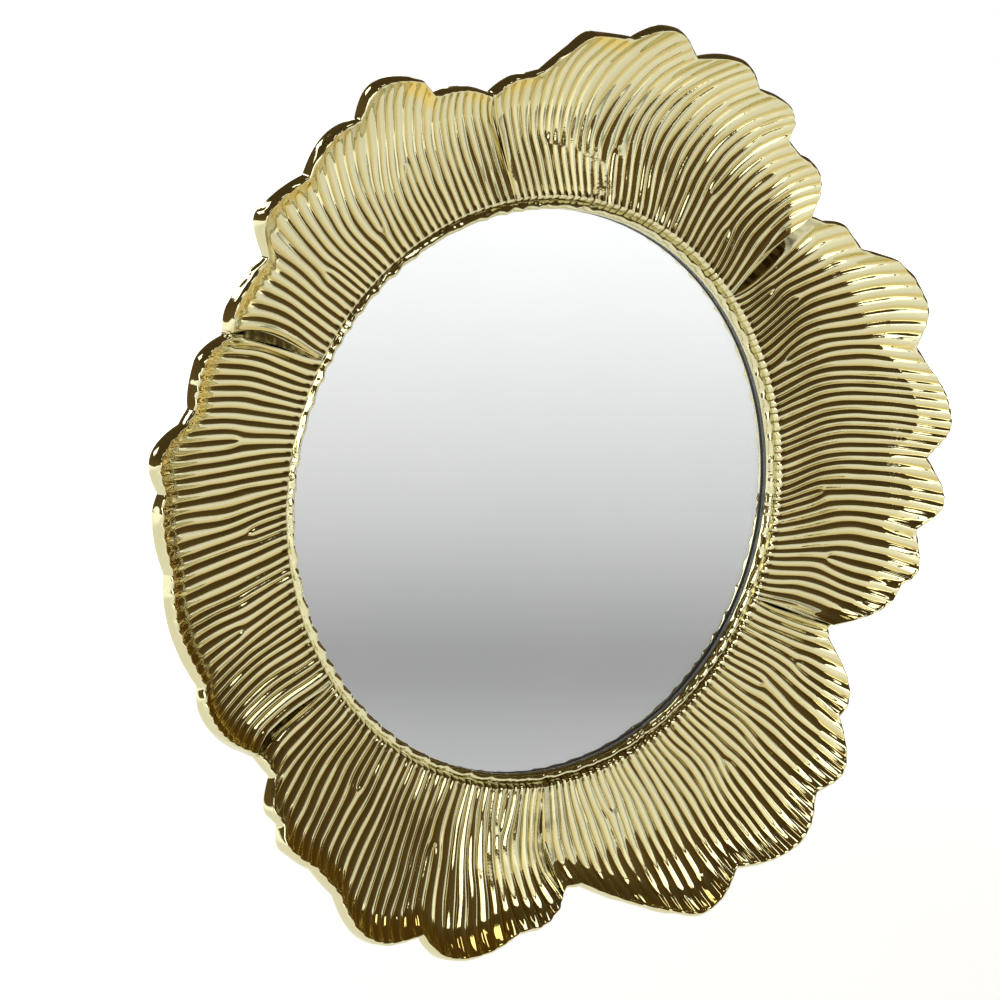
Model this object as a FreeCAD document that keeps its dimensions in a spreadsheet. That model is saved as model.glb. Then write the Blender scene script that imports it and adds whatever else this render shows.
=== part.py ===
"""Round wall mirror in a flower frame of six ribbed petals, with its glazing and hanging hardware.

Frame of the part: +Z up, the front looks along -Y, and the wall is the plane y = 0. The origin is the
centre of the glass, on the wall. Every piece is drawn lying on its back first (X to the right, Y up the
wall, Z the height off the wall) and is then stood up.
"""
import FreeCAD
import Part
import math
import os

import Sketcher
from FreeCAD import Placement, Rotation, Vector

# Driving sizes in millimetres, one cell of the sheet each
SIZES = {
    # glass, ledge and rebate
    "sight_radius": 100.0,
    "ledge_width": 4.0,
    "edge_gap": 1.0,
    "glass_thickness": 3.0,
    "glass_arris": 0.4,
    # soft blocks beside the glass
    "edge_pad_play": 0.05,
    "edge_pad_inset": 0.3,
    # foam dots and the board behind the glass
    "foam_thickness": 1.0,
    "foam_radius": 6.0,
    "foam_circle": 70.0,
    "board_thickness": 3.0,
    "board_gap": 0.6,
    "board_recess": 1.5,
    "board_chamfer": 0.5,
    # foot ring on the wall side
    "foot_width": 17.0,
    "foot_flare": 2.0,
    "foot_depth": 5.0,
    "bumper_thickness": 2.5,
    "bumper_radius": 6.0,
    "bumper_bevel": 0.5,
    # bead and groove round the opening
    "ring_width": 5.0,
    "bead_setback": 1.4,
    "bead_rise": 2.6,
    "bead_wave": 0.4,
    "groove_setback": 3.2,
    "groove_rise": 1.9,
    "root_rise": 3.2,
    # petals
    "petal_length": 65.0,
    "petal_rise": 17.0,
    "rib_depth": 1.1,
    "margin_lift": 2.6,
    "lip_width": 9.0,
    "lip_rise": 3.0,
    "flank_drop": 4.2,
    "flank_splay": 2.0,
    "wall_thickness": 3.2,
    # screws
    "screw_shank_radius": 1.3,
    "screw_play": 0.05,
    "screw_head_radius": 2.6,
    "screw_head_height": 1.1,
    "screw_head_bevel": 0.5,
    "clip_screw_length": 7.0,
    "hanger_screw_length": 6.0,
    # offset clips
    "clip_width": 10.0,
    "clip_sheet": 0.8,
    "clip_foot": 11.0,
    "clip_reach": 7.0,
    "clip_setback": 0.2,
    "clip_corner": 2.0,
    "clip_hole_play": 0.2,
    # folding hanger
    "hanger_pocket_width": 38.0,
    "hanger_pocket_depth": 2.1,
    "hanger_width": 34.0,
    "hanger_height": 10.0,
    "hanger_sheet": 0.8,
    "hanger_corner": 2.0,
    "hanger_screw_spacing": 24.0,
    "barrel_length": 10.0,
    "eye_wire_radius": 1.0,
    "eye_play": 0.1,
    "eye_corner": 2.0,
    "eye_length": 11.5,
    # cutters run past what they cut by this much
    "overrun": 1.0,
}

# The petals counterclockwise from the right, seen from the front. Angles are in degrees from +X.
# root_angle is where the petal's ribs begin at the ring. Each row of turns says how far a rib has swung
# round (degrees) a third, two thirds and all of the way out: the first row is the rib at root_angle, the
# last one the rib at the next petal, and two more are evenly spaced between them. lift_shares are the
# shares of margin_lift by which the first and the last margin stand over, or dip under, the neighbour.
# belly_share is the share of petal_rise by which the middle of the petal is fuller than the plain dish.
PETALS = (
    {"root_angle": -26.4, "ribs": 36, "belly_share": 0.0, "lift_shares": (0.6, -0.2),
     "turns": ((1.4, 1.0, 0.0), (2.4, 2.2, 1.0), (0.2, -2.2, -5.0), (0.0, -1.5, -4.0))},
    {"root_angle": 39.0, "ribs": 31, "belly_share": 0.0, "lift_shares": (0.8, 0.3),
     "turns": ((1.2, 0.3, -3.0), (0.5, -1.0, -5.0), (2.4, 0.0, -5.5), (1.5, 3.4, 3.6))},
    {"root_angle": 96.8, "ribs": 28, "belly_share": 0.0, "lift_shares": (-0.1, 0.9),
     "turns": ((1.5, 3.4, 3.6), (1.2, -0.5, -2.0), (0.8, 0.2, -1.5), (0.5, 4.4, 6.0))},
    {"root_angle": 149.3, "ribs": 34, "belly_share": 0.0, "lift_shares": (-0.2, 0.7),
     "turns": ((0.5, 4.4, 6.0), (2.0, 3.0, 3.0), (2.4, 3.4, 3.5), (-1.0, 0.0, 1.0))},
    {"root_angle": 213.3, "ribs": 30, "belly_share": 0.26, "lift_shares": (-0.2, -0.2),
     "turns": ((-1.0, 0.0, 1.0), (0.4, 0.6, 0.6), (-0.6, -0.6, 0.0), (0.0, 2.8, 4.0))},
    {"root_angle": 269.5, "ribs": 34, "belly_share": 0.0, "lift_shares": (0.6, -0.2),
     "turns": ((0.0, 2.8, 4.0), (2.6, 3.4, 3.0), (1.6, 1.4, 0.6), (1.4, 1.0, 0.0))},
)

# Edge of the flower: angle in degrees, reach as a share of petal_length, and "tip" or "notch"
EDGE_SHARES = (
    (-25.4, 0.5, "notch"), (-17.5, 0.81, "tip"), (-16.6, 0.815, "notch"), (-14.2, 0.89, "tip"),
    (-9.0, 0.82, "notch"), (-5.0, 0.965, "tip"), (0.6, 0.85, "notch"), (5.3, 0.995, "tip"),
    (15.6, 0.855, "notch"), (20.5, 0.97, "tip"), (27.5, 0.912, "notch"), (31.3, 0.75, "notch"),
    (34.5, 0.753, "tip"), (39.0, 0.575, "notch"), (41.3, 0.71, "notch"), (45.0, 0.783, "tip"),
    (48.0, 0.765, "notch"), (51.1, 0.772, "notch"), (52.0, 0.85, "notch"), (55.0, 0.903, "tip"),
    (59.6, 0.868, "notch"), (63.8, 0.94, "tip"), (70.0, 0.845, "notch"), (74.8, 0.95, "tip"),
    (80.0, 0.845, "notch"), (85.0, 0.852, "tip"), (88.0, 0.775, "notch"), (92.0, 0.645, "notch"),
    (95.0, 0.63, "tip"), (100.0, 0.56, "notch"), (108.0, 0.665, "tip"), (109.8, 0.68, "notch"),
    (111.2, 0.78, "notch"), (117.6, 0.888, "tip"), (121.5, 0.777, "notch"), (125.0, 0.81, "tip"),
    (131.0, 0.727, "notch"), (138.3, 0.79, "tip"), (142.0, 0.605, "notch"), (149.5, 0.63, "tip"),
    (153.4, 0.572, "notch"), (158.3, 0.68, "tip"), (164.0, 0.645, "notch"), (166.0, 0.685, "notch"),
    (171.0, 0.852, "tip"), (174.6, 0.782, "notch"), (177.0, 0.803, "tip"), (184.5, 0.735, "notch"),
    (189.0, 0.75, "tip"), (200.0, 0.672, "notch"), (203.6, 0.715, "tip"), (213.5, 0.55, "notch"),
    (216.9, 0.55, "notch"), (220.3, 0.7, "tip"), (221.8, 0.7, "notch"), (224.3, 0.785, "tip"),
    (229.3, 0.765, "notch"), (233.8, 0.805, "notch"), (240.0, 0.935, "tip"), (247.7, 0.81, "notch"),
    (252.0, 0.90, "tip"), (263.2, 0.75, "notch"), (266.0, 0.735, "tip"), (270.6, 0.65, "notch"),
    (272.4, 0.55, "notch"), (275.0, 0.552, "notch"), (288.3, 0.90, "notch"), (291.0, 0.945, "tip"),
    (298.0, 0.85, "notch"), (306.8, 0.975, "tip"), (313.2, 0.868, "notch"), (317.2, 0.93, "tip"),
    (323.4, 0.75, "notch"), (325.2, 0.775, "tip"), (332.8, 0.525, "notch"),
)

# Section of a petal along a rib: share of petal_length out from the ring, share of petal_rise
DISH_SHARES = ((0.0, 0.0), (0.18, -0.125), (0.36, -0.175), (0.5, -0.1), (0.65, 0.16), (0.8, 0.5), (1.0, 0.95))
# Section of a petal's belly: share of petal_length out from the ring, share of its full height
BELLY_SHARES = ((0.0, 0.0), (0.18, 0.4), (0.36, 0.92), (0.5, 1.0), (0.65, 0.54), (0.8, 0.15), (1.0, 0.0))
# Where the back has its corner on the way from the foot ring to the lip
BACK_SHARE = 0.45
# Where a section has its corners on the way to the lip, and how much of the rib stands up there
STATION_SHARES = ((0.03, 0.35), (0.28, 1.0), (0.6, 1.0))
CREST_RELIEF_SHARE = 0.55
# The margin of a petal: how far across it reaches, where its lift peaks, and how flat its ribs are
MARGIN_SHARE = 0.2
LIFT_PEAK_SHARE = 0.55
MARGIN_RELIEF_SHARE = 0.35
# Half the width of the seam between two petals, as a share of the petal's angle
SEAM_SHARE = 0.004
BEAD_WAVES = 51
# Sides of a section that are flat rings: the second is the ledge, the last is the land
LEDGE_SIDE = 1
LAND_SIDE = 14

CLIP_ANGLES = (0, 60, 120, 180, 240, 300)
FOAM_ANGLES = (30, 90, 150, 210, 270, 330)
BUMPER_ANGLES = (30, 150, 210, 330)
EDGE_PAD_ANGLES = (45, 135, 225, 315)
HANGER_ANGLE = 90
EDGE_PAD_SWEEP = 6

doc = FreeCAD.newDocument("PetalMirror")
sheet = doc.addObject("Spreadsheet::Sheet", "Sizes")
for row, (alias, value) in enumerate(SIZES.items(), start=1):
    sheet.set(f"A{row}", alias.replace("_", " "))
    sheet.set(f"B{row}", str(value))
    sheet.setAlias(f"B{row}", alias)
doc.recompute()


def size(expression):
    """Value in millimetres of an expression that names cells of the sheet."""
    return float(sheet.evalExpression(expression))


# Radii and heights that several pieces share, as expressions of the sheet
GLASS_RADIUS = "(Sizes.sight_radius + Sizes.ledge_width)"
REBATE_RADIUS = f"({GLASS_RADIUS} + Sizes.edge_gap)"
BOARD_RADIUS = f"({REBATE_RADIUS} - Sizes.board_gap)"
FOOT_RADIUS = f"({REBATE_RADIUS} + Sizes.foot_width)"
FOOT_MIDDLE = f"({REBATE_RADIUS} + Sizes.foot_width / 2)"
CLIP_SCREW_RADIUS = f"({REBATE_RADIUS} + Sizes.clip_foot / 2)"
LAND = "(Sizes.bumper_thickness)"
BOARD_BACK = f"({LAND} + Sizes.board_recess)"
BOARD_FRONT = f"({BOARD_BACK} + Sizes.board_thickness)"
GLASS_BACK = f"({BOARD_FRONT} + Sizes.foam_thickness)"
LEDGE = f"({GLASS_BACK} + Sizes.glass_thickness)"
POCKET_FLOOR = f"({LAND} + Sizes.hanger_pocket_depth)"
BARREL_BORE = "(Sizes.eye_wire_radius + Sizes.eye_play)"
BARREL_RADIUS = f"({BARREL_BORE} + Sizes.hanger_sheet)"
BARREL_HEIGHT = f"({POCKET_FLOOR} - {BARREL_RADIUS})"
BARREL_PLACE = f"({FOOT_MIDDLE} + Sizes.hanger_height / 2)"
EYE_HALF_WIDTH = "(Sizes.barrel_length / 2 + Sizes.eye_play + Sizes.eye_corner)"
PILOT_RADIUS = "(Sizes.screw_shank_radius + Sizes.screw_play)"


def stood_up(angle=0.0):
    """Turns a piece drawn at angle 0 round the glass by angle, then stands it up against the wall."""
    stand = Rotation(Vector(1, 0, 0), 90)
    turn = Rotation(Vector(0, 0, 1), angle)
    return Placement(Vector(0, 0, 0), stand.multiply(turn))


def new_body(label, angle=0.0):
    body = doc.addObject("PartDesign::Body", label)
    body.Label = label
    body.Placement = stood_up(angle)
    return body


def new_sketch(body, name, role, out="0", up="0"):
    """Sketch on an origin plane of its body, moved by the expressions out (first axis) and up.

    On XY_Plane up is the height off the wall, on XZ_Plane too.
    """
    sketch = body.newObject("Sketcher::SketchObject", f"{body.Name}_{name}")
    planes = [item for item in body.Origin.OriginFeatures if item.Role == role]
    sketch.AttachmentSupport = [(planes[0], "")]
    sketch.MapMode = "FlatFace"
    sketch.setExpression("AttachmentOffset.Base.x", out)
    height_axis = "z" if role == "XY_Plane" else "y"
    sketch.setExpression(f"AttachmentOffset.Base.{height_axis}", up)
    return sketch


def fix_point(sketch, geometry, point, across, up):
    """Holds a point of the sketch at two expressions, measured from the sketch's origin."""
    for kind, expression in (("DistanceX", across), ("DistanceY", up)):
        value = float(sketch.evalExpression(expression))
        number = sketch.addConstraint(Sketcher.Constraint(kind, -1, 1, geometry, point, value))
        sketch.setExpression(f"Constraints[{number}]", expression)


def draw_corners(sketch, corners):
    """Closed outline of straight lines through corners, each a pair of expressions."""
    places = [Vector(float(sketch.evalExpression(x)), float(sketch.evalExpression(y)), 0) for x, y in corners]
    first = len(sketch.Geometry)
    count = len(corners)
    for number in range(count):
        sketch.addGeometry(Part.LineSegment(places[number], places[(number + 1) % count]), False)
    for number in range(count):
        following = first + (number + 1) % count
        sketch.addConstraint(Sketcher.Constraint("Coincident", first + number, 2, following, 1))
    for number, (across, up) in enumerate(corners):
        fix_point(sketch, first + number, 1, across, up)


def draw_circle(sketch, radius, across="0", up="0"):
    centre = Vector(float(sketch.evalExpression(across)), float(sketch.evalExpression(up)), 0)
    value = float(sketch.evalExpression(radius))
    circle = sketch.addGeometry(Part.Circle(centre, Vector(0, 0, 1), value), False)
    number = sketch.addConstraint(Sketcher.Constraint("Radius", circle, value))
    sketch.setExpression(f"Constraints[{number}]", radius)
    fix_point(sketch, circle, 3, across, up)


def pad(body, sketch, length, both_ways=False):
    feature = body.newObject("PartDesign::Pad", f"{sketch.Name}_pad")
    feature.Profile = sketch
    feature.setExpression("Length", length)
    if both_ways:
        feature.SideType = "Symmetric"
    body.Tip = feature
    return feature


def pocket_through(body, sketch):
    """Cuts the sketch through the whole body, both ways."""
    doc.recompute()
    before = body.Shape.Volume
    feature = body.newObject("PartDesign::Pocket", f"{sketch.Name}_pocket")
    feature.Profile = sketch
    feature.Type = "ThroughAll"
    feature.SideType = "Symmetric"
    body.Tip = feature
    doc.recompute()
    if not body.Shape.Volume < before:
        raise RuntimeError(f"{sketch.Name} cut nothing")
    return feature


def revolve(body, sketch, sweep=360):
    """Turns the sketch about its own upright axis, or by half the sweep to each side."""
    feature = body.newObject("PartDesign::Revolution", f"{sketch.Name}_turned")
    feature.Profile = sketch
    feature.ReferenceAxis = (sketch, ["V_Axis"])
    feature.Angle = sweep
    feature.Midplane = sweep < 360
    body.Tip = feature
    return feature


def dress(body, kind, amount, wanted):
    """Fillet or Chamfer of the edges of the body's tip for which wanted(edge) is true."""
    doc.recompute()
    base = body.Tip
    names = [f"Edge{number}" for number, edge in enumerate(base.Shape.Edges, start=1) if wanted(edge)]
    feature = body.newObject(f"PartDesign::{kind}", f"{base.Name}_{kind.lower()}")
    feature.Base = (base, names)
    feature.setExpression("Radius" if kind == "Fillet" else "Size", amount)
    body.Tip = feature
    return feature


def is_circle_at(edge, height, radius):
    """True for a full circle of the given radius at a height, in the body's own frame."""
    if not hasattr(edge.Curve, "Radius") or len(edge.Vertexes) > 1:
        return False
    same_radius = abs(edge.Curve.Radius - size(radius)) < Part.Precision.confusion() * 10
    return same_radius and abs(edge.Curve.Center.z - size(height)) < Part.Precision.confusion() * 10


def is_upright(edge):
    """True for a straight edge along the height off the wall."""
    if edge.Curve.TypeId != "Part::GeomLine":
        return False
    return abs(abs(edge.tangentAt(edge.FirstParameter).z) - 1) < Part.Precision.confusion()


# Petal casting: the sections, one along every rib and every groove between two ribs

def smooth_value(points, place):
    """Height at place of a smooth curve through points, with the mean slope of both sides at each."""
    slopes = [(b[1] - a[1]) / (b[0] - a[0]) for a, b in zip(points, points[1:])]
    tangents = [slopes[0]] + [(a + b) / 2 for a, b in zip(slopes, slopes[1:])] + [slopes[-1]]
    index = 0
    while index < len(slopes) - 1 and place > points[index + 1][0]:
        index += 1
    (x0, y0), (x1, y1) = points[index], points[index + 1]
    span = x1 - x0
    u = (place - x0) / span
    rise = y0 * (1 + 2 * u) * (1 - u) ** 2 + y1 * u * u * (3 - 2 * u)
    return rise + span * (tangents[index] * u * (1 - u) ** 2 - tangents[index + 1] * u * u * (1 - u))


def edge_share(angle):
    """Reach of the flower's edge at an angle: lobes rise steeply from a notch and round off at the tip."""
    first = EDGE_SHARES[0][0]
    angle = first + (angle - first) % 360
    points = EDGE_SHARES + ((first + 360,) + EDGE_SHARES[0][1:],)
    for (a0, r0, kind0), (a1, r1, kind1) in zip(points, points[1:]):
        if angle <= a1:
            break
    quarter = (angle - a0) / (a1 - a0) * math.pi / 2
    if kind0 == "notch" and kind1 == "tip":
        return r0 + (r1 - r0) * math.sin(quarter)
    if kind0 == "tip" and kind1 == "notch":
        return r1 + (r0 - r1) * math.cos(quarter)
    return r0 + (r1 - r0) * quarter / (math.pi / 2)


def rib_angle(petal, end_angle, across, reach):
    """Angle of a rib: across is its share of the way over the petal, reach its share of petal_length."""
    turns = []
    for row in petal["turns"]:
        turns.append(smooth_value(((0, 0), (1 / 3, row[0]), (2 / 3, row[1]), (1, row[2])), reach))
    guides = tuple((number / 3, turn) for number, turn in enumerate(turns))
    return petal["root_angle"] + across * (end_angle - petal["root_angle"]) + smooth_value(guides, across)


def rib_reach(petal, end_angle, across):
    """Share of petal_length at which the rib meets the edge of the flower, found by halving."""
    low, high = 0.0, 1.0
    for _ in range(30):
        middle = (low + high) / 2
        if middle < edge_share(rib_angle(petal, end_angle, across, middle)):
            low = middle
        else:
            high = middle
    return (low + high) / 2


def margin_fade(distance):
    """1 at the margin of the petal, falling to 0 where the margin ends."""
    return max(0.0, 1 - distance / MARGIN_SHARE) ** 2


def petal_section(petal, end_angle, across, side):
    """Closed section of the casting along one rib (side 1) or groove (side -1), as a list of corners."""
    root_radius = size("Sizes.sight_radius + Sizes.ring_width")
    root_height = size(f"{LEDGE} + Sizes.root_rise")
    length, rise = size("Sizes.petal_length"), size("Sizes.petal_rise")
    reach = rib_reach(petal, end_angle, across)
    ring_angle = rib_angle(petal, end_angle, across, 0)
    margin = margin_fade(across) + margin_fade(1 - across)
    first_lift, last_lift = petal["lift_shares"]
    lift_share = first_lift * margin_fade(across) + last_lift * margin_fade(1 - across)
    relief_share = 1 - (1 - MARGIN_RELIEF_SHARE) * margin

    def corner(angle, radius, height):
        turn = math.radians(angle)
        return Vector(radius * math.cos(turn), radius * math.sin(turn), height)

    def dish(out):
        """Height of the front face at the share out of petal_length, before the margins' lift."""
        belly_share = petal["belly_share"] * math.sin(math.pi * across) * smooth_value(BELLY_SHARES, out)
        return root_height + rise * (smooth_value(DISH_SHARES, out) + belly_share)

    def on_petal(out, relief, extra=0.0):
        """Corner on the front face at the share out of petal_length."""
        lift = lift_share * math.sin(math.pi / 2 * min(out / reach / LIFT_PEAK_SHARE, 2))
        height = dish(out) + extra
        height += size("Sizes.margin_lift") * lift
        height += size("Sizes.rib_depth") / 2 * side * relief * relief_share
        return corner(rib_angle(petal, end_angle, across, out), root_radius + length * out, height)

    wave = size("Sizes.bead_wave") * math.sin(BEAD_WAVES * math.radians(ring_angle))
    sight = size("Sizes.sight_radius")
    ledge, land = size(LEDGE), size(LAND)
    bead_radius = sight + size("Sizes.bead_setback") + wave
    bead = corner(ring_angle, bead_radius, ledge + size("Sizes.bead_rise") + wave / 2)
    groove_radius = sight + size("Sizes.groove_setback") + wave
    groove = corner(ring_angle, groove_radius, ledge + size("Sizes.groove_rise"))
    lip_out = reach - size("Sizes.lip_width") / length
    front = [on_petal(share * reach, relief) for share, relief in STATION_SHARES]
    front.append(on_petal(lip_out, 1.0))
    crest = on_petal(reach, CREST_RELIEF_SHARE, size("Sizes.lip_rise"))
    end = rib_angle(petal, end_angle, across, reach)
    edge_radius = root_radius + length * reach
    crest_height = dish(reach) + size("Sizes.lip_rise")
    flank = corner(end, edge_radius + size("Sizes.flank_splay"), crest_height - size("Sizes.flank_drop"))
    foot = size(FOOT_RADIUS)
    foot_edge = foot + size("Sizes.foot_flare")
    foot_out = (foot_edge - root_radius) / length
    back_out = foot_out + (lip_out - foot_out) * BACK_SHARE
    back = []
    for out in (lip_out, back_out):
        turned = rib_angle(petal, end_angle, across, out)
        back.append(corner(turned, root_radius + length * out, dish(out) - size("Sizes.wall_thickness")))
    return [
        corner(ring_angle, size(REBATE_RADIUS), land),
        corner(ring_angle, size(REBATE_RADIUS), ledge),
        corner(ring_angle, sight, ledge),
        bead,
        groove,
        *front,
        crest,
        flank,
        *back,
        corner(ring_angle, foot_edge, land + size("Sizes.foot_depth")),
        corner(ring_angle, foot, land),
    ]


def petal_sections():
    """All sections counterclockwise: grooves and ribs by turns, petal by petal."""
    sections = []
    for number, petal in enumerate(PETALS):
        following = PETALS[(number + 1) % len(PETALS)]["root_angle"]
        end_angle = following if following > petal["root_angle"] else following + 360
        count = 2 * petal["ribs"]
        for step in range(count):
            across = SEAM_SHARE + (1 - 2 * SEAM_SHARE) * step / (count - 1)
            sections.append(petal_section(petal, end_angle, across, 1 if step % 2 else -1))
    return sections


def facets_between(near, far):
    """Flat facets between two neighbouring sections: a quad where it is flat, else two triangles.

    The ledge and the land are left out, because each is one flat ring all the way round.
    """
    facets = []
    for number in range(len(near)):
        if number in (LEDGE_SIDE, LAND_SIDE):
            continue
        following = (number + 1) % len(near)
        a, b, c, d = near[number], near[following], far[following], far[number]
        normal = (b - a).cross(d - a).normalize()
        if abs(normal.dot(c - a)) < Part.Precision.confusion():
            facets.append(Part.Face(Part.makePolygon([a, b, c, d, a])))
        else:
            facets.append(Part.Face(Part.makePolygon([a, b, c, a])))
            facets.append(Part.Face(Part.makePolygon([a, c, d, a])))
    return facets


def flat_ring(sections, side):
    """Flat face between two corners of the section, all the way round."""
    rims = []
    for number in (side, (side + 1) % len(sections[0])):
        corners = [section[number] for section in sections]
        rims.append(Part.makePolygon(corners + corners[:1]))
    return Part.makeFace(rims, "Part::FaceMakerBullseye")


def casting_shape():
    """The petal casting, pleated between its sections all the way round and closed on itself."""
    sections = petal_sections()
    facets = [flat_ring(sections, LEDGE_SIDE), flat_ring(sections, LAND_SIDE)]
    for near, far in zip(sections, sections[1:] + sections[:1]):
        facets += facets_between(near, far)
    shell = Part.Shell(facets)
    shell.sewShape()
    return Part.Solid(shell)


def pilot_hole(name, angle, out, across, depth_end):
    """Cutter for a screw hole in the casting, from below the land up to depth_end."""
    hole = doc.addObject("Part::Cylinder", name)
    hole.setExpression("Radius", PILOT_RADIUS)
    hole.setExpression("Height", f"{depth_end} - {LAND} + Sizes.overrun")
    hole.Placement = Placement(Vector(0, 0, 0), Rotation(Vector(1, 0, 0), 90))
    hole.setExpression("Placement.Base.x", f"{out} * cos({angle} deg) - {across} * sin({angle} deg)")
    hole.setExpression("Placement.Base.y", f"Sizes.overrun - {LAND}")
    hole.setExpression("Placement.Base.z", f"{out} * sin({angle} deg) + {across} * cos({angle} deg)")
    return hole


def make_petal_frame():
    """The casting less the pocket of the hanger and the pilot holes of the screws."""
    casting = doc.addObject("Part::Feature", "petal_casting")
    casting.Shape = casting_shape()
    casting.Placement = stood_up()
    pocket = doc.addObject("Part::Box", "hanger_pocket")
    pocket.setExpression("Length", "Sizes.hanger_pocket_width")
    pocket.setExpression("Width", "Sizes.hanger_pocket_depth + Sizes.overrun")
    pocket.setExpression("Height", "Sizes.foot_width + Sizes.foot_flare + 2 * Sizes.overrun + Sizes.edge_gap")
    pocket.setExpression("Placement.Base.x", "-Sizes.hanger_pocket_width / 2")
    pocket.setExpression("Placement.Base.y", f"-{POCKET_FLOOR}")
    pocket.setExpression("Placement.Base.z", f"{REBATE_RADIUS} - Sizes.overrun - Sizes.edge_gap")
    cutters = [pocket]
    clip_end = f"({LAND} - Sizes.clip_sheet + Sizes.clip_screw_length + Sizes.screw_play)"
    for number, angle in enumerate(CLIP_ANGLES, start=1):
        cutters.append(pilot_hole(f"clip_hole_{number}", angle, CLIP_SCREW_RADIUS, "0", clip_end))
    hanger_end = f"({POCKET_FLOOR} - Sizes.hanger_sheet + Sizes.hanger_screw_length + Sizes.screw_play)"
    for number, sign in enumerate(("-", ""), start=1):
        across = f"({sign}Sizes.hanger_screw_spacing / 2)"
        cutters.append(pilot_hole(f"hanger_hole_{number}", HANGER_ANGLE, FOOT_MIDDLE, across, hanger_end))
    tools = doc.addObject("Part::Compound", "frame_cutters")
    tools.Links = cutters
    frame = doc.addObject("Part::Cut", "petal_frame")
    frame.Label = "petal_frame"
    frame.Base = casting
    frame.Tool = tools
    return frame


# Glazing

def make_mirror_glass():
    body = new_body("mirror_glass")
    sketch = new_sketch(body, "disc", "XY_Plane", up=GLASS_BACK)
    draw_circle(sketch, GLASS_RADIUS)
    pad(body, sketch, "Sizes.glass_thickness")
    dress(body, "Chamfer", "Sizes.glass_arris", lambda edge: is_circle_at(edge, LEDGE, GLASS_RADIUS)
          or is_circle_at(edge, GLASS_BACK, GLASS_RADIUS))
    return body


def make_backing_board():
    body = new_body("backing_board")
    sketch = new_sketch(body, "disc", "XY_Plane", up=BOARD_BACK)
    draw_circle(sketch, BOARD_RADIUS)
    pad(body, sketch, "Sizes.board_thickness")
    dress(body, "Chamfer", "Sizes.board_chamfer", lambda edge: is_circle_at(edge, BOARD_BACK, BOARD_RADIUS))
    return body


def make_foam_pad(number, angle):
    body = new_body(f"foam_pad_{number}", angle)
    sketch = new_sketch(body, "dot", "XY_Plane", out="Sizes.foam_circle", up=BOARD_FRONT)
    draw_circle(sketch, "Sizes.foam_radius")
    pad(body, sketch, "Sizes.foam_thickness")
    return body


def make_edge_pad(number, angle):
    """Soft block in the gap between the edge of the glass and the rebate."""
    body = new_body(f"glass_edge_pad_{number}", angle)
    sketch = new_sketch(body, "block", "XZ_Plane")
    near = f"{GLASS_RADIUS} + Sizes.edge_pad_play"
    far = f"{REBATE_RADIUS} - Sizes.edge_pad_play"
    low = f"{GLASS_BACK} + Sizes.edge_pad_inset"
    high = f"{LEDGE} - Sizes.edge_pad_inset"
    draw_corners(sketch, ((near, low), (far, low), (far, high), (near, high)))
    revolve(body, sketch, EDGE_PAD_SWEEP)
    return body


# Clips and screws

def make_retaining_clip(number, angle):
    """Strip bent twice: its foot lies on the land, its tongue on the back of the board."""
    body = new_body(f"retaining_clip_{number}", angle)
    sketch = new_sketch(body, "side", "XZ_Plane")
    end = f"{REBATE_RADIUS} + Sizes.clip_foot"
    bend = f"{REBATE_RADIUS} - Sizes.clip_setback"
    inner_bend = f"{bend} - Sizes.board_recess"
    tip = f"{REBATE_RADIUS} - Sizes.clip_reach"
    foot_low, foot_high = f"{LAND} - Sizes.clip_sheet", LAND
    tongue_low, tongue_high = f"{BOARD_BACK} - Sizes.clip_sheet", BOARD_BACK
    draw_corners(sketch, ((end, foot_low), (end, foot_high), (bend, foot_high), (inner_bend, tongue_high),
                          (tip, tongue_high), (tip, tongue_low), (inner_bend, tongue_low), (bend, foot_low)))
    pad(body, sketch, "Sizes.clip_width", both_ways=True)
    hole = new_sketch(body, "hole", "XY_Plane", out=CLIP_SCREW_RADIUS, up=LAND)
    draw_circle(hole, "Sizes.screw_shank_radius + Sizes.clip_hole_play")
    pocket_through(body, hole)
    dress(body, "Fillet", "Sizes.clip_corner", is_upright)
    return body


def make_screw(label, angle, out, across, seat, length):
    """Pan head screw: the underside of its head is at the height seat, and the shank runs forward."""
    body = new_body(label, angle)
    sketch = new_sketch(body, "half", "XZ_Plane", out=out, up=seat)
    sketch.setExpression("AttachmentOffset.Base.z", f"-({across})")
    shank, head, top = "Sizes.screw_shank_radius", "Sizes.screw_head_radius", "-Sizes.screw_head_height"
    point = f"{length} - {shank}"
    draw_corners(sketch, (("0", top), (head, top), (head, "0"), (shank, "0"), (shank, point), ("0", length)))
    revolve(body, sketch)
    head_top = f"{seat} - Sizes.screw_head_height"
    dress(body, "Chamfer", "Sizes.screw_head_bevel", lambda edge: is_circle_at(edge, head_top, head))
    return body


def make_wall_bumper(number, angle):
    body = new_body(f"wall_bumper_{number}", angle)
    sketch = new_sketch(body, "disc", "XY_Plane", out=FOOT_MIDDLE)
    draw_circle(sketch, "Sizes.bumper_radius")
    pad(body, sketch, "Sizes.bumper_thickness")
    dress(body, "Chamfer", "Sizes.bumper_bevel", lambda edge: is_circle_at(edge, "0", "Sizes.bumper_radius"))
    return body


# Hanger

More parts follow.
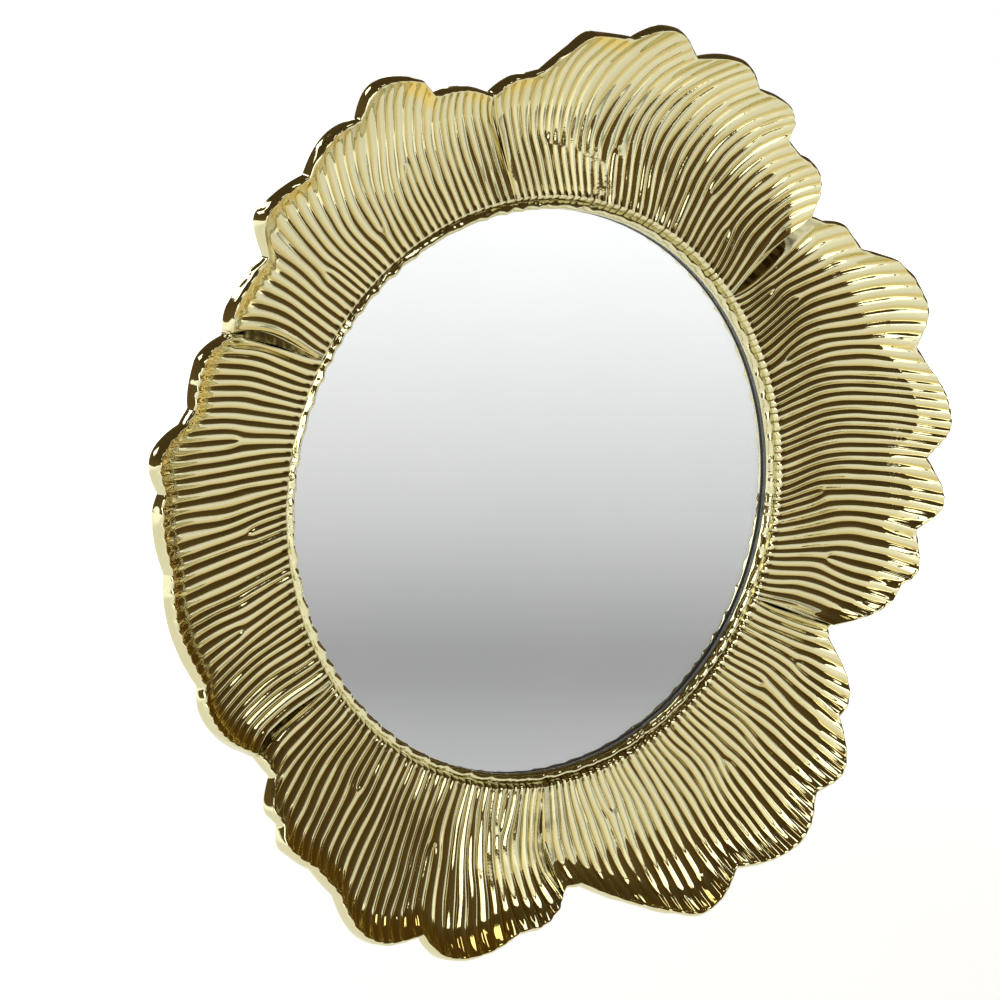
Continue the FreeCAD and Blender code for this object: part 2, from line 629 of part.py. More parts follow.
def make_hanger_plate():
    """Flat plate with a tongue in the middle that is curled round the wire of the eye."""
    body = new_body("hanger_plate", HANGER_ANGLE)
    sketch = new_sketch(body, "plate", "XY_Plane", up=f"{POCKET_FLOOR} - Sizes.hanger_sheet")
    low = f"{BARREL_PLACE} - Sizes.hanger_height"
    shoulder = f"{BARREL_PLACE} - {BARREL_RADIUS} - Sizes.eye_play"
    side, ear = "Sizes.hanger_width / 2", "Sizes.barrel_length / 2"
    draw_corners(sketch, ((low, f"-{side}"), (shoulder, f"-{side}"), (shoulder, f"-{ear}"),
                          (BARREL_PLACE, f"-{ear}"), (BARREL_PLACE, ear), (shoulder, ear),
                          (shoulder, side), (low, side)))
    pad(body, sketch, "Sizes.hanger_sheet")
    dress(body, "Fillet", "Sizes.hanger_corner",
          lambda edge: is_upright(edge) and abs(edge.CenterOfMass.y) > size("Sizes.barrel_length"))
    curl = new_sketch(body, "curl", "XZ_Plane", out=BARREL_PLACE, up=BARREL_HEIGHT)
    draw_circle(curl, BARREL_RADIUS)
    pad(body, curl, "Sizes.barrel_length", both_ways=True)
    bore = new_sketch(body, "bore", "XZ_Plane", out=BARREL_PLACE, up=BARREL_HEIGHT)
    draw_circle(bore, BARREL_BORE)
    pocket_through(body, bore)
    holes = new_sketch(body, "holes", "XY_Plane", out=FOOT_MIDDLE, up=POCKET_FLOOR)
    for sign in ("-", ""):
        draw_circle(holes, "Sizes.screw_shank_radius + Sizes.clip_hole_play", "0",
                    f"{sign}Sizes.hanger_screw_spacing / 2")
    pocket_through(body, holes)
    return body


def make_hanger_eye():
    """Closed loop of round wire, hanging down: four straight runs joined by quarter bends."""
    wire, corner, half = "Sizes.eye_wire_radius", "Sizes.eye_corner", EYE_HALF_WIDTH
    top, low = BARREL_PLACE, f"({BARREL_PLACE} - Sizes.eye_length)"
    runs = (
        ("bar", f"-({half} - {corner})", top, Rotation(Vector(0, 1, 0), 90), f"2 * ({half} - {corner})"),
        ("foot", f"-({half} - {corner})", low, Rotation(Vector(0, 1, 0), 90), f"2 * ({half} - {corner})"),
        ("left", f"-{half}", f"{low} + {corner}", Rotation(), f"Sizes.eye_length - 2 * {corner}"),
        ("right", half, f"{low} + {corner}", Rotation(), f"Sizes.eye_length - 2 * {corner}"),
    )
    bends = (("top_right", "", top, "-", 0), ("top_left", "-", top, "-", 90),
             ("low_left", "-", low, "+", 180), ("low_right", "", low, "+", 270))
    pieces = []
    for name, across, up, turn, length in runs:
        rod = doc.addObject("Part::Cylinder", f"eye_{name}")
        rod.setExpression("Radius", wire)
        rod.setExpression("Height", length)
        rod.Placement = Placement(Vector(0, 0, 0), turn)
        rod.setExpression("Placement.Base.x", across)
        rod.setExpression("Placement.Base.y", f"-{BARREL_HEIGHT}")
        rod.setExpression("Placement.Base.z", up)
        pieces.append(rod)
    for name, side, up, inward, first in bends:
        bend = doc.addObject("Part::Torus", f"eye_{name}")
        bend.setExpression("Radius1", corner)
        bend.setExpression("Radius2", wire)
        bend.Angle3 = 90
        stand = Rotation(Vector(1, 0, 0), 90)
        bend.Placement = Placement(Vector(0, 0, 0), stand.multiply(Rotation(Vector(0, 0, 1), first)))
        bend.setExpression("Placement.Base.x", f"{side}({half} - {corner})")
        bend.setExpression("Placement.Base.y", f"-{BARREL_HEIGHT}")
        bend.setExpression("Placement.Base.z", f"{up} {inward} {corner}")
        pieces.append(bend)
    eye = doc.addObject("Part::MultiFuse", "hanger_eye")
    eye.Label = "hanger_eye"
    eye.Shapes = pieces
    return eye


def make_all():
    """Every separate piece of the mirror, in the order it is put together."""
    pieces = [make_petal_frame(), make_mirror_glass(), make_backing_board()]
    for number, angle in enumerate(FOAM_ANGLES, start=1):
        pieces.append(make_foam_pad(number, angle))
    for number, angle in enumerate(EDGE_PAD_ANGLES, start=1):
        pieces.append(make_edge_pad(number, angle))
    for number, angle in enumerate(CLIP_ANGLES, start=1):
        pieces.append(make_retaining_clip(number, angle))
        seat = f"({LAND} - Sizes.clip_sheet)"
        pieces.append(make_screw(f"clip_screw_{number}", angle, CLIP_SCREW_RADIUS, "0", seat,
                                 "Sizes.clip_screw_length"))
    pieces += [make_hanger_plate(), make_hanger_eye()]
    for number, sign in enumerate(("-", ""), start=1):
        seat = f"({POCKET_FLOOR} - Sizes.hanger_sheet)"
        pieces.append(make_screw(f"hanger_screw_{number}", HANGER_ANGLE, FOOT_MIDDLE,
                                 f"{sign}Sizes.hanger_screw_spacing / 2", seat, "Sizes.hanger_screw_length"))
    for number, angle in enumerate(BUMPER_ANGLES, start=1):
        pieces.append(make_wall_bumper(number, angle))
    return pieces


def check(pieces):
    """Stops where an object failed or a piece is not one valid solid."""
    for item in doc.Objects:
        if "Invalid" in item.State or "Error" in item.State:
            raise RuntimeError(f"{item.Label} failed: {item.State}")
    for piece in pieces:
        shape = piece.Shape
        if shape.isNull() or not shape.isValid() or len(shape.Solids) != 1:
            raise RuntimeError(f"{piece.Label} is not one valid solid")


pieces = make_all()
doc.recompute()
check(pieces)
os.makedirs("parts", exist_ok=True)
for piece in pieces:
    piece.Shape.exportStep(f"parts/{piece.Label}.step")
print(len(pieces), "pieces")
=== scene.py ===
"""Visual model and studio for a round wall mirror in a plated flower frame.

The frame casting is rebuilt here as six ribbed petals, a carved bead and a foot ring, each a surface
worked out on a grid. A point of the casting is first given lying on its back as (angle, radius, height
off the wall) in degrees and millimetres, and is then stood up: X to the right, Z up, -Y out of the wall.
"""

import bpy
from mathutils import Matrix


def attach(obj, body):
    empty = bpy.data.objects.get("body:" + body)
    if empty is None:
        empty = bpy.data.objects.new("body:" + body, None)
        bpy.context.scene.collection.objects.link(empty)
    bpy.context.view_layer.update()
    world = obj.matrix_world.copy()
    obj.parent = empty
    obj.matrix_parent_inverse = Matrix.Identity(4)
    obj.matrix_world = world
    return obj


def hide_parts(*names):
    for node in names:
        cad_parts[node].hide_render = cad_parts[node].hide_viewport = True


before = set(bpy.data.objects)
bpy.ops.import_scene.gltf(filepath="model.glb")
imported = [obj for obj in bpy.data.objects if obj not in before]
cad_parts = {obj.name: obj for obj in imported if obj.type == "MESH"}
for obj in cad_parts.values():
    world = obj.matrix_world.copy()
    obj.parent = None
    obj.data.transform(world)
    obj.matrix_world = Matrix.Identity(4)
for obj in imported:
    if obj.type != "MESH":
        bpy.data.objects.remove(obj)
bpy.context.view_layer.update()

import math

import bpy
import numpy as np
from bpy.props import FloatProperty, FloatVectorProperty, IntProperty, PointerProperty
from mathutils import Vector

bl_info = {
    "name": "Petal Mirror",
    "version": (1, 0, 0),
    "blender": (4, 5, 0),
    "location": "3D View > Sidebar > Petal Mirror",
    "description": "Ribbed flower frame, glazing, hanger and studio of a round wall mirror",
    "category": "Object",
}

MILLIMETRE = 0.001
BODY = "mirror"
EYE_BODY = "eye"

# Petals counterclockwise from the right, seen from the front. Angles in degrees from +X, lengths in
# millimetres.
# turns: how far a rib has swung round a third, two thirds and all of the way out, for four ribs evenly
# spaced over the petal. lift: how high the first and last margins stand. band: width of the plain strip
# that each margin leaves under its neighbour's. forks: where a new rib begins, as the share of the way
# over the petal, the share of the petal's length, and 1 or -1 for the side it opens to. carve: how deep
# the grooves are beside the mean. flare: how much deeper they get towards the tip of the last margin.
# middle: what the petal's middle adds to DISH_RISE.
PETALS = (
    dict(name="petal_right", root=-26.4, ribs=40, seed=11, lift=(1.6, -0.5), band=(0.0, 4.8),
         carve=1.0, flare=0.0, middle=(0.0, 0.0, 0.0, 0.0, 0.0, 0.0, 0.0),
         turns=((1.4, 1.0, 0.0), (2.4, 2.2, 1.0), (0.2, -2.2, -5.0), (0.0, -1.5, -4.0)),
         forks=((0.93, 0.24, 1), (0.86, 0.36, 1), (0.72, 0.15, -1), (0.30, 0.30, 1), (0.14, 0.42, -1))),
    dict(name="petal_top_right", root=39.0, ribs=35, seed=23, lift=(2.1, 0.8), band=(0.0, 0.0),
         carve=0.82, flare=0.0, middle=(0.0, 0.03, 0.06, 0.07, 0.04, 0.0, 0.0),
         turns=((1.2, 0.3, -3.0), (0.5, -1.0, -5.0), (2.4, 0.0, -5.5), (1.5, 3.4, 3.6)),
         forks=((0.15, 0.22, 1), (0.27, 0.33, -1), (0.60, 0.28, 1), (0.84, 0.30, -1))),
    dict(name="petal_top_left", root=96.8, ribs=31, seed=37, lift=(-0.3, 2.3), band=(0.8, 0.0),
         carve=0.76, flare=0.0, middle=(0.0, 0.05, 0.15, 0.19, 0.15, 0.06, 0.0),
         turns=((1.5, 3.4, 3.6), (1.2, -0.5, -2.0), (0.8, 0.2, -1.5), (0.5, 4.4, 6.0)),
         forks=((0.35, 0.40, 1), (0.52, 0.18, -1), (0.75, 0.24, 1))),
    dict(name="petal_left", root=149.3, ribs=39, seed=41, lift=(-0.5, 1.8), band=(3.2, 0.0),
         carve=1.0, flare=0.0, middle=(0.0, 0.0, 0.0, 0.0, 0.0, 0.0, 0.0),
         turns=((0.5, 4.4, 6.0), (2.0, 3.0, 3.0), (2.4, 3.4, 3.5), (-1.0, 0.0, 1.0)),
         forks=((0.25, 0.32, -1), (0.48, 0.20, 1), (0.70, 0.34, -1))),
    dict(name="petal_bottom_left", root=213.3, ribs=34, seed=53, lift=(-0.5, -0.5), band=(2.8, 1.2),
         carve=0.92, flare=0.75, middle=(0.0, 0.11, 0.26, 0.32, 0.27, 0.14, 0.0),
         turns=((-1.0, 0.0, 1.0), (0.4, 0.6, 0.6), (-0.6, -0.6, 0.0), (0.0, 2.8, 4.0)),
         forks=((0.30, 0.28, 1), (0.62, 0.36, -1), (0.85, 0.22, 1))),
    dict(name="petal_bottom_right", root=269.5, ribs=39, seed=67, lift=(1.6, -0.5), band=(0.0, 2.0),
         carve=1.05, flare=0.0, middle=(0.0, 0.06, 0.10, 0.10, 0.06, 0.02, 0.0),
         turns=((0.0, 2.8, 4.0), (2.6, 3.4, 3.0), (1.6, 1.4, 0.6), (1.4, 1.0, 0.0)),
         forks=((0.20, 0.24, 1), (0.55, 0.42, -1), (0.78, 0.30, 1), (0.88, 0.45, -1))),
)

# Tips and notches of the flower's edge, each an angle and the reach as a share of the petal's length. A
# notch beside a notch is a bend. EDGE has them in order, with True at a tip.
TIPS = (
    (-17.5, 0.81), (-14.2, 0.89), (-5.0, 0.965), (5.3, 0.995), (20.5, 0.97), (34.5, 0.753), (45.0, 0.783),
    (55.0, 0.903), (63.8, 0.94), (74.8, 0.95), (85.0, 0.852), (95.0, 0.63), (108.0, 0.665),
    (117.6, 0.888), (125.0, 0.81), (138.3, 0.79), (149.5, 0.63), (158.3, 0.68), (171.0, 0.852),
    (177.0, 0.803), (189.0, 0.75), (203.6, 0.715), (220.3, 0.7), (224.3, 0.785), (240.0, 0.935),
    (252.0, 0.9), (266.0, 0.735), (291.0, 0.945), (306.8, 0.975), (317.2, 0.93), (325.2, 0.775),
)
NOTCHES = (
    (-25.4, 0.5), (-16.6, 0.815), (-9.0, 0.82), (0.6, 0.85), (15.6, 0.855), (27.5, 0.912), (31.3, 0.75),
    (39.0, 0.575), (41.3, 0.71), (48.0, 0.765), (51.1, 0.772), (52.0, 0.85), (59.6, 0.868), (70.0, 0.845),
    (80.0, 0.845), (88.0, 0.775), (92.0, 0.645), (100.0, 0.56), (109.8, 0.68), (111.2, 0.78),
    (121.5, 0.777), (131.0, 0.727), (142.0, 0.605), (153.4, 0.572), (164.0, 0.645), (166.0, 0.685),
    (174.6, 0.782), (184.5, 0.735), (200.0, 0.672), (213.5, 0.55), (216.9, 0.55), (221.8, 0.7),
    (229.3, 0.765), (233.8, 0.805), (247.7, 0.81), (263.2, 0.75), (270.6, 0.65), (272.4, 0.55),
    (275.0, 0.552), (288.3, 0.9), (298.0, 0.85), (313.2, 0.868), (323.4, 0.75), (332.8, 0.525),
)
EDGE = sorted([(*row, True) for row in TIPS] + [(*row, False) for row in NOTCHES])

# Dish of a petal: shares of its length out from the ring, and shares of its rise there
DISH_OUT = (0.0, 0.18, 0.36, 0.5, 0.65, 0.8, 1.0)
DISH_RISE = (0.0, -0.03, -0.04, 0.02, 0.21, 0.51, 0.95)

# Where the swing of the ribs is given, along a rib and over the petal
GUIDES = (0.0, 1 / 3, 2 / 3, 1.0)
# Share of the petal's length at which a band under a margin closes
BAND_END = 0.62
# Width of the zone along a margin that its lift bends, as a share of the petal
MARGIN = 0.22
# How far the lower of two margins dives under the other
DIVE = 2.6
# Thickness that a petal has more along its margins, where the front dives
MARGIN_STOCK = 1.7
# Mean distance from rib to rib
RIB_PITCH = 3.4
# Grid rows of a petal's flank and back, and the share of the way over the back by which a section has
# turned from the angle of the crest to the angle of its rib
FLANK_ROWS = 29
BACK_ROWS = 19
BACK_TURN = 0.3

# Zones inside the edge where the plating is painted amber, a painted reflection of the gold in the turned-up
# lip: from and to in degrees, width in millimetres inward from the crest, and how strong
AMBER_REFLECTION_ZONES = (
    (79.0, 86.0, 4.0, 0.7), (92.0, 98.0, 4.0, 0.6), (100.5, 105.0, 3.0, 0.6), (109.0, 114.5, 5.5, 0.8),
    (123.0, 129.0, 3.0, 0.5), (128.0, 138.0, 4.5, 0.8), (142.0, 151.0, 5.0, 0.8),
    (155.0, 176.0, 6.5, 0.85), (174.0, 202.0, 4.4, 1.0), (201.0, 213.0, 6.5, 1.0),
    (222.0, 263.0, 7.5, 0.9), (283.0, 296.0, 4.0, 0.5),
)

# Zones near the edge where the ribs split in two: from and to in degrees, and the height in millimetres
FINE_ZONES = (
    (-24.0, -6.0, 0.34), (228.0, 262.0, 0.30), (280.0, 304.0, 0.36), (8.0, 20.0, 0.18),
    (120.0, 138.0, 0.2), (165.0, 185.0, 0.28),
)


def mm(label, default):
    """Property that holds a length in millimetres."""
    return FloatProperty(name=label, default=default)


def colour(label, default):
    """Property that holds a linear colour."""
    return FloatVectorProperty(name=label, subtype="COLOR", default=default)


class MirrorSizes(bpy.types.PropertyGroup):
    """Sizes of the mirror, in millimetres, as the frame's source has them."""
    sight_radius: mm("Radius of the glass that shows", 100.0)
    glass_front: mm("Height of the glass off the wall", 11.0)
    rebate_radius: mm("Radius of the seat of the glass", 105.0)
    root_radius: mm("Radius at the roots of the petals", 105.0)
    root_rise: mm("Height of the petals' roots over the glass", 3.2)
    petal_length: mm("From the roots to the longest tip", 65.0)
    petal_rise: mm("Height that a petal gains on its way", 17.0)
    groove_depth: mm("Depth of the grooves between ribs", 0.95)
    lip_width: mm("Width of the turned-up edge", 9.0)
    lip_rise: mm("Height of the turned-up edge", 3.0)
    flank_splay: mm("How far the flank leans out", 2.0)
    flank_drop: mm("Height of the flank behind the lip", 4.2)
    wall: mm("Thickness of a petal", 3.2)
    collar_width: mm("Width of the roots' slope to the bead", 1.8)
    land: mm("Height of the foot ring off the wall", 2.5)
    foot_radius: mm("Outer radius of the foot ring", 122.0)
    foot_flare: mm("Draft of the foot ring", 2.0)
    foot_depth: mm("Depth of the foot ring's outer wall", 5.0)
    screw_head: mm("Radius of a screw's pan head", 2.6)
    screw_head_height: mm("Height of a screw's pan head", 1.1)
    screw_shank: mm("Outer radius of a screw's thread", 1.3)
    thread_pitch: mm("Pitch of a screw's thread", 1.1)
    clip_screw: mm("Length of a clip screw under its head", 7.0)
    clip_seat: mm("Height off the wall under a clip screw's head", 1.7)
    clip_circle: mm("Radius of the circle of clip screws", 110.5)
    hanger_screw: mm("Length of a hanger screw under its head", 6.0)
    hanger_seat: mm("Height off the wall under a hanger screw's head", 3.8)
    hanger_spacing: mm("Distance between the hanger screws", 24.0)
    foot_circle: mm("Radius to the middle of the foot ring", 113.5)
    bumper_radius: mm("Radius of a wall bumper", 6.0)
    wire: mm("Radius of the hanger eye's wire", 1.0)
    eye_half: mm("From the eye's middle to its side wires", 7.1)
    eye_length: mm("From the barrel to the eye's low wire", 11.5)
    eye_corner: mm("Radius of the eye's corners", 2.0)
    barrel_place: mm("Height of the barrel over the mirror's middle", 118.5)
    barrel_height: mm("Height of the barrel's axis off the wall", 2.7)
    columns_per_rib: IntProperty(name="Grid columns over one rib", default=12, min=4)


class MirrorColours(bpy.types.PropertyGroup):
    """Colours of the mirror's finishes."""
    gold: colour("Champagne gold plating", (0.70, 0.675, 0.425))
    # The amber mixed into the grooves is painted shade; the wear clouds also take it as a tone of the plating
    amber: colour("Thicker lacquer in the grooves", (0.58, 0.44, 0.10))
    silver: colour("Silvered face of the glass", (0.965, 0.965, 0.962))
    board: colour("Brown hardboard", (0.27, 0.15, 0.075))
    zinc: colour("Zinc plated steel", (0.62, 0.63, 0.64))
    rubber: colour("Black rubber", (0.022, 0.022, 0.023))


# Curves and noise

def smooth(xs, ys, x):
    """Height at x of a smooth curve through points: on each stretch a cubic whose slope at a point is the
    mean of the slopes on its two sides. ys has one row per point, each a number or an array like x."""
    xs = np.asarray(xs, float)
    ys = np.asarray(ys, float)
    x = np.asarray(x, float)
    if ys.ndim == 1:
        ys = ys.reshape((-1,) + (1,) * x.ndim)
    ys = np.broadcast_to(ys, (len(xs),) + x.shape)
    gaps = np.diff(xs).reshape((-1,) + (1,) * x.ndim)
    slopes = np.diff(ys, axis=0) / gaps
    tangents = np.concatenate([slopes[:1], (slopes[1:] + slopes[:-1]) / 2, slopes[-1:]])
    index = np.clip(np.searchsorted(xs, x, side="right") - 1, 0, len(xs) - 2)
    pick = index[None]
    y0, y1 = (np.take_along_axis(ys, pick + step, 0)[0] for step in (0, 1))
    t0, t1 = (np.take_along_axis(tangents, pick + step, 0)[0] for step in (0, 1))
    span = xs[index + 1] - xs[index]
    u = (x - xs[index]) / span
    rise = y0 * (1 + 2 * u) * (1 - u) ** 2 + y1 * u * u * (3 - 2 * u)
    return rise + span * (t0 * u * (1 - u) ** 2 - t1 * u * u * (1 - u))


def ramp(x, low, high):
    """0 below low, 1 above high, and a smooth S between them."""
    t = np.clip((np.asarray(x, float) - low) / (high - low), 0, 1)
    return t * t * (3 - 2 * t)


def soft_noise(x, y, seed):
    """Smooth noise from -1 to 1: random values on a square lattice, blended with S curves both ways."""
    table = np.random.default_rng(seed).uniform(-1, 1, (64, 64))
    xi, yi = np.floor(x).astype(int), np.floor(y).astype(int)
    u, v = x - xi, y - yi
    u, v = u * u * (3 - 2 * u), v * v * (3 - 2 * v)
    corner = [table[(xi + a) % 64, (yi + b) % 64] for a, b in ((0, 0), (1, 0), (0, 1), (1, 1))]
    return (corner[0] * (1 - u) + corner[1] * u) * (1 - v) + (corner[2] * (1 - u) + corner[3] * u) * v


def edge_reach(angle):
    """Reach of the flower's edge at an angle: a quarter sine up from a notch to a tip, and down again."""
    angles, shares, tips = (np.array(column) for column in zip(*EDGE, EDGE[0]))
    angles[-1] += 360
    turned = angles[0] + np.mod(angle - angles[0], 360)
    index = np.clip(np.searchsorted(angles, turned, side="right") - 1, 0, len(EDGE) - 1)
    u = (turned - angles[index]) / (angles[index + 1] - angles[index])
    rising = np.sin(u * np.pi / 2)
    falling = 1 - np.cos(u * np.pi / 2)
    blend = np.where(tips[index + 1] & ~tips[index], rising, np.where(tips[index], falling, u))
    return shares[index] + (shares[index + 1] - shares[index]) * blend


def near_margins(across, width):
    """How near each margin is: 1 on it, and falling with the square to 0 at a share of the petal."""
    return [np.clip(1 - side / width, 0, 1) ** 2 for side in (across, 1 - across)]


def rib_angle(petal, across, out, sizes):
    """Angle of a rib: its place at the ring plus a swing, smooth along the rib and over the petal. Beside
    a margin that leaves a band it is pushed in by the band's width, which swells and closes on the way."""
    across, out = np.broadcast_arrays(np.asarray(across, float), np.asarray(out, float))
    turns = np.stack([smooth(GUIDES, (0.0,) + row, out) for row in petal["turns"]])
    bare = petal["root"] + across * petal["width"] + smooth(GUIDES, turns, across)
    radius = sizes.root_radius + sizes.petal_length * out
    band = np.sin(np.pi * np.clip(out / BAND_END, 0, 1)) ** 0.8 / np.radians(radius)
    first, last = (width * band * near for width, near in zip(petal["band"], near_margins(across, 0.25)))
    return bare + first - last


def rib_reach(petal, across, sizes):
    """Share of the petal's length at which each rib meets the flower's edge, by halving."""
    low, high = np.zeros_like(across), np.ones_like(across)
    for _ in range(32):
        middle = (low + high) / 2
        inside = middle < edge_reach(rib_angle(petal, across, middle, sizes))
        low, high = np.where(inside, middle, low), np.where(inside, high, middle)
    return (low + high) / 2


# Meshes

def stood_up(angle, radius, height):
    """Points of the casting stood against the wall: angle 0 is +X, 90 is +Z, height is along -Y."""
    turn = np.radians(angle)
    points = np.stack([radius * np.cos(turn), -height + 0 * turn, radius * np.sin(turn)], -1)
    return points * MILLIMETRE


def grid_faces(rows, columns, close_rows=False, close_columns=False):
    """Quads between neighbouring points of a grid whose points are numbered row by row."""
    row = np.arange(rows if close_rows else rows - 1)
    column = np.arange(columns if close_columns else columns - 1)
    a, b = np.meshgrid(row, column, indexing="ij")
    a1, b1 = (a + 1) % rows, (b + 1) % columns
    corners = [a * columns + b, a1 * columns + b, a1 * columns + b1, a * columns + b1]
    return np.stack(corners, -1).reshape(-1, 4)


def add_mesh(name, points, faces, material, flip=False):
    """Mesh object at the origin from arrays of points and of quads or triangles, smooth shaded."""
    points = np.asarray(points, np.float32).reshape(-1, 3)
    groups = faces if isinstance(faces, (list, tuple)) else [faces]
    groups = [np.asarray(group)[:, ::-1] if flip else np.asarray(group) for group in groups]
    corners = np.concatenate([group.ravel() for group in groups]).astype(np.int32)
    counts = np.concatenate([np.full(len(group), group.shape[1]) for group in groups]).astype(np.int32)
    mesh = bpy.data.meshes.new(name)
    mesh.vertices.add(len(points))
    mesh.vertices.foreach_set("co", points.ravel())
    mesh.loops.add(len(corners))
    mesh.loops.foreach_set("vertex_index", corners)
    mesh.polygons.add(len(counts))
    mesh.polygons.foreach_set("loop_start", np.concatenate([[0], np.cumsum(counts)[:-1]]).astype(np.int32))
    mesh.polygons.foreach_set("loop_total", counts)
    mesh.update(calc_edges=True)
    mesh.validate()
    mesh.polygons.foreach_set("use_smooth", np.ones(len(mesh.polygons), bool))
    mesh.materials.append(material)
    item = bpy.data.objects.new(name, mesh)
    bpy.context.scene.collection.objects.link(item)
    return item


def shade_flat(item):
    item.data.polygons.foreach_set("use_smooth", np.zeros(len(item.data.polygons), bool))


def add_values(item, name, values):
    """Named value at every point of a mesh, for its material to read."""
    attribute = item.data.attributes.new(name, "FLOAT", "POINT")
    attribute.data.foreach_set("value", np.asarray(values, np.float32).ravel())


def fit_to_body(item, body, slot, *nodes):
    """The piece rides on its body and stands for the nodes, which are hidden; slot is not used."""
    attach(item, body)
    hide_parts(*nodes)
    return item


def add_casting(name, sections, faces, material, values, flip=False):
    """Piece of the frame casting: its mesh, the values that the plating reads, and its place."""
    item = add_mesh(name, stood_up(*sections), faces, material, flip=flip)
    for key, value in values.items():
        add_values(item, key, value)
    return fit_to_body(item, BODY, "plated_gold", "petal_frame")


def turned_piece(name, outline, material, centre, columns=96, shape=None):
    """Solid turned round an axis that runs off the wall through centre (X, Z in millimetres).

    outline is a list of (radius, height) that starts and ends on the axis. shape(radius, height, turns)
    may change the radius and the height of every point between.
    """
    outline = np.array(outline, float)
    turns = np.radians(np.linspace(0, 360, columns + 1)[:-1])[None]
    radius, height = outline[1:-1, :1] + 0 * turns, outline[1:-1, 1:] + 0 * turns
    if shape:
        radius, height = shape(radius, height, turns)
    x, y = radius * np.cos(turns), radius * np.sin(turns)
    ring = np.stack([centre[0] + x, -height, centre[1] + y], -1).reshape(-1, 3)
    first_height = height[0, 0] if shape else outline[0, 1]
    ends = np.array([[centre[0], -first_height, centre[1]], [centre[0], -outline[-1, 1], centre[1]]])
    points = np.concatenate([ring, ends]) * MILLIMETRE
    rows = len(outline) - 2
    column = np.arange(columns)
    following = (column + 1) % columns
    first = np.stack([np.full(columns, len(ring)), column, following], -1)
    last = np.stack([np.full(columns, len(ring) + 1), following + (rows - 1) * columns,
                     column + (rows - 1) * columns], -1)
    faces = [grid_faces(rows, columns, close_columns=True), first, last]
    return add_mesh(name, points, faces, material, flip=True)


# Petals

def margins(petal, across, run, sizes):
    """Distance into the petal from each of its two margins, with that margin's lift."""
    width = np.radians(petal["width"]) * (sizes.root_radius + run)
    return (across * width, petal["lift"][0]), ((1 - across) * width, petal["lift"][1])


def grooves(petal, across, out, reach, sizes):
    """Depth of the carving below the ribs' tops, and how deep in a groove each point is, from 0 to 1.

    The phase counts ribs over the petal. It wanders a little with soft noise, and each fork adds a turn
    of the phase round its point over 360 degrees, which starts one more rib there. A rib is a mix of the
    absolute sine of half a turn of the phase, rounded off in the groove, and of its square. Each groove
    has its own start, depth, root pit and rounding. Grooves deepen by half over the petal's length, lie
    flat on the margins, and lose a third of their depth at the very edge.
    """
    seed, place, run = petal["seed"], across * petal["ribs"], out * sizes.petal_length
    phase = place + 0.24 * soft_noise(place / 2.3, run / 19, seed)
    phase = phase + 0.045 * soft_noise(place / 0.9, run / 7.0, seed + 1)
    for fork_across, fork_out, side in petal["forks"]:
        dx = (across - fork_across) * petal["ribs"] * RIB_PITCH
        dy = (out - fork_out) * sizes.petal_length
        phase = phase + side * np.arctan2(dx, -dy) / (2 * np.pi)
    number = np.round(phase).astype(int)
    pool = np.random.default_rng(seed + 5).uniform(0, 1, (4, 256))
    start, depth_share, pit, softness = (row[number % 256] for row in pool)
    edge = 0.16 + 0.10 * softness
    square = np.sin(np.pi * phase) ** 2
    rib = (np.sqrt(square + edge ** 2) - edge) / (np.sqrt(1 + edge ** 2) - edge)
    rib = 0.45 * rib + 0.55 * square
    fade = ramp(run, -2.2, 0.3 + 0.9 * start)
    wave = 0.92 + 0.16 * soft_noise(place, run / 11, seed + 2)
    depth = sizes.groove_depth * (0.60 + 0.22 * depth_share) * wave * fade * (1 + 0.5 * out) * petal["carve"]
    depth = depth * (1 + (0.02 + 0.15 * pit) * np.exp(-((run - 1.9) / 1.3) ** 2))
    depth = depth * (1 + petal["flare"] * ramp(across, 0.62, 0.84) * ramp(out, 0.15, 0.45))
    for inside, lift in margins(petal, across, run, sizes):
        flat, full = (0.9, 4.2) if lift > 0 else (0.1, 1.6)
        depth = depth * (0.06 + 0.94 * ramp(inside, flat, full))
    depth = depth * (1 - 0.35 * ramp(out / reach, 0.94, 1.0))
    # The second value is how deep in a groove a point is; the plating paints shade from it
    return depth * (1 - rib), (1 - rib) * fade


def zone_share(angle, first, last, outer, inner):
    """1 between two angles in degrees, rising from outer before to inner after each of them."""
    turned = first + np.mod(angle - first + 90, 360) - 90
    return ramp(turned, first - outer, first + inner) * (1 - ramp(turned, last - inner, last + outer))


def fine_ribs(petal, across, out, reach, angle):
    """Small ribs near the edge, two to each rib: a raised sine that fades in over the last fifth."""
    place = across * petal["ribs"]
    phase = place * 2 + 0.4 * soft_noise(place, out * 9, petal["seed"] + 3)
    height = sum(high * zone_share(angle, first, last, 0, 3) for first, last, high in FINE_ZONES)
    share = out / reach
    return -height * np.abs(np.cos(np.pi * phase)) * ramp(share, 0.80, 0.93) * (1 - ramp(share, 0.985, 1.0))


def amber_reflection_share(angle, inward):
    """How strongly the painted amber reflection tints the plating: 1 inside a zone, fading over two degrees
    and over its width.
    """
    return np.max([strength * zone_share(angle, first, last, 0.5, 1.5)
                   * (1 - ramp(inward, width * 0.45, width * 1.25))
                   for first, last, width, strength in AMBER_REFLECTION_ZONES], axis=0)


def dish_height(petal, across, out, sizes):
    """Height of a petal's dish off the wall, where out is the share of the petal's length: the smooth
    curve DISH_RISE, plus the petal's middle curve times the root of a sine over the petal."""
    extra = smooth(DISH_OUT, petal["middle"], out) * np.sqrt(np.clip(np.sin(np.pi * across), 0, 1))
    root = sizes.glass_front + sizes.root_rise
    return root + sizes.petal_rise * (smooth(DISH_OUT, DISH_RISE, out) + extra)


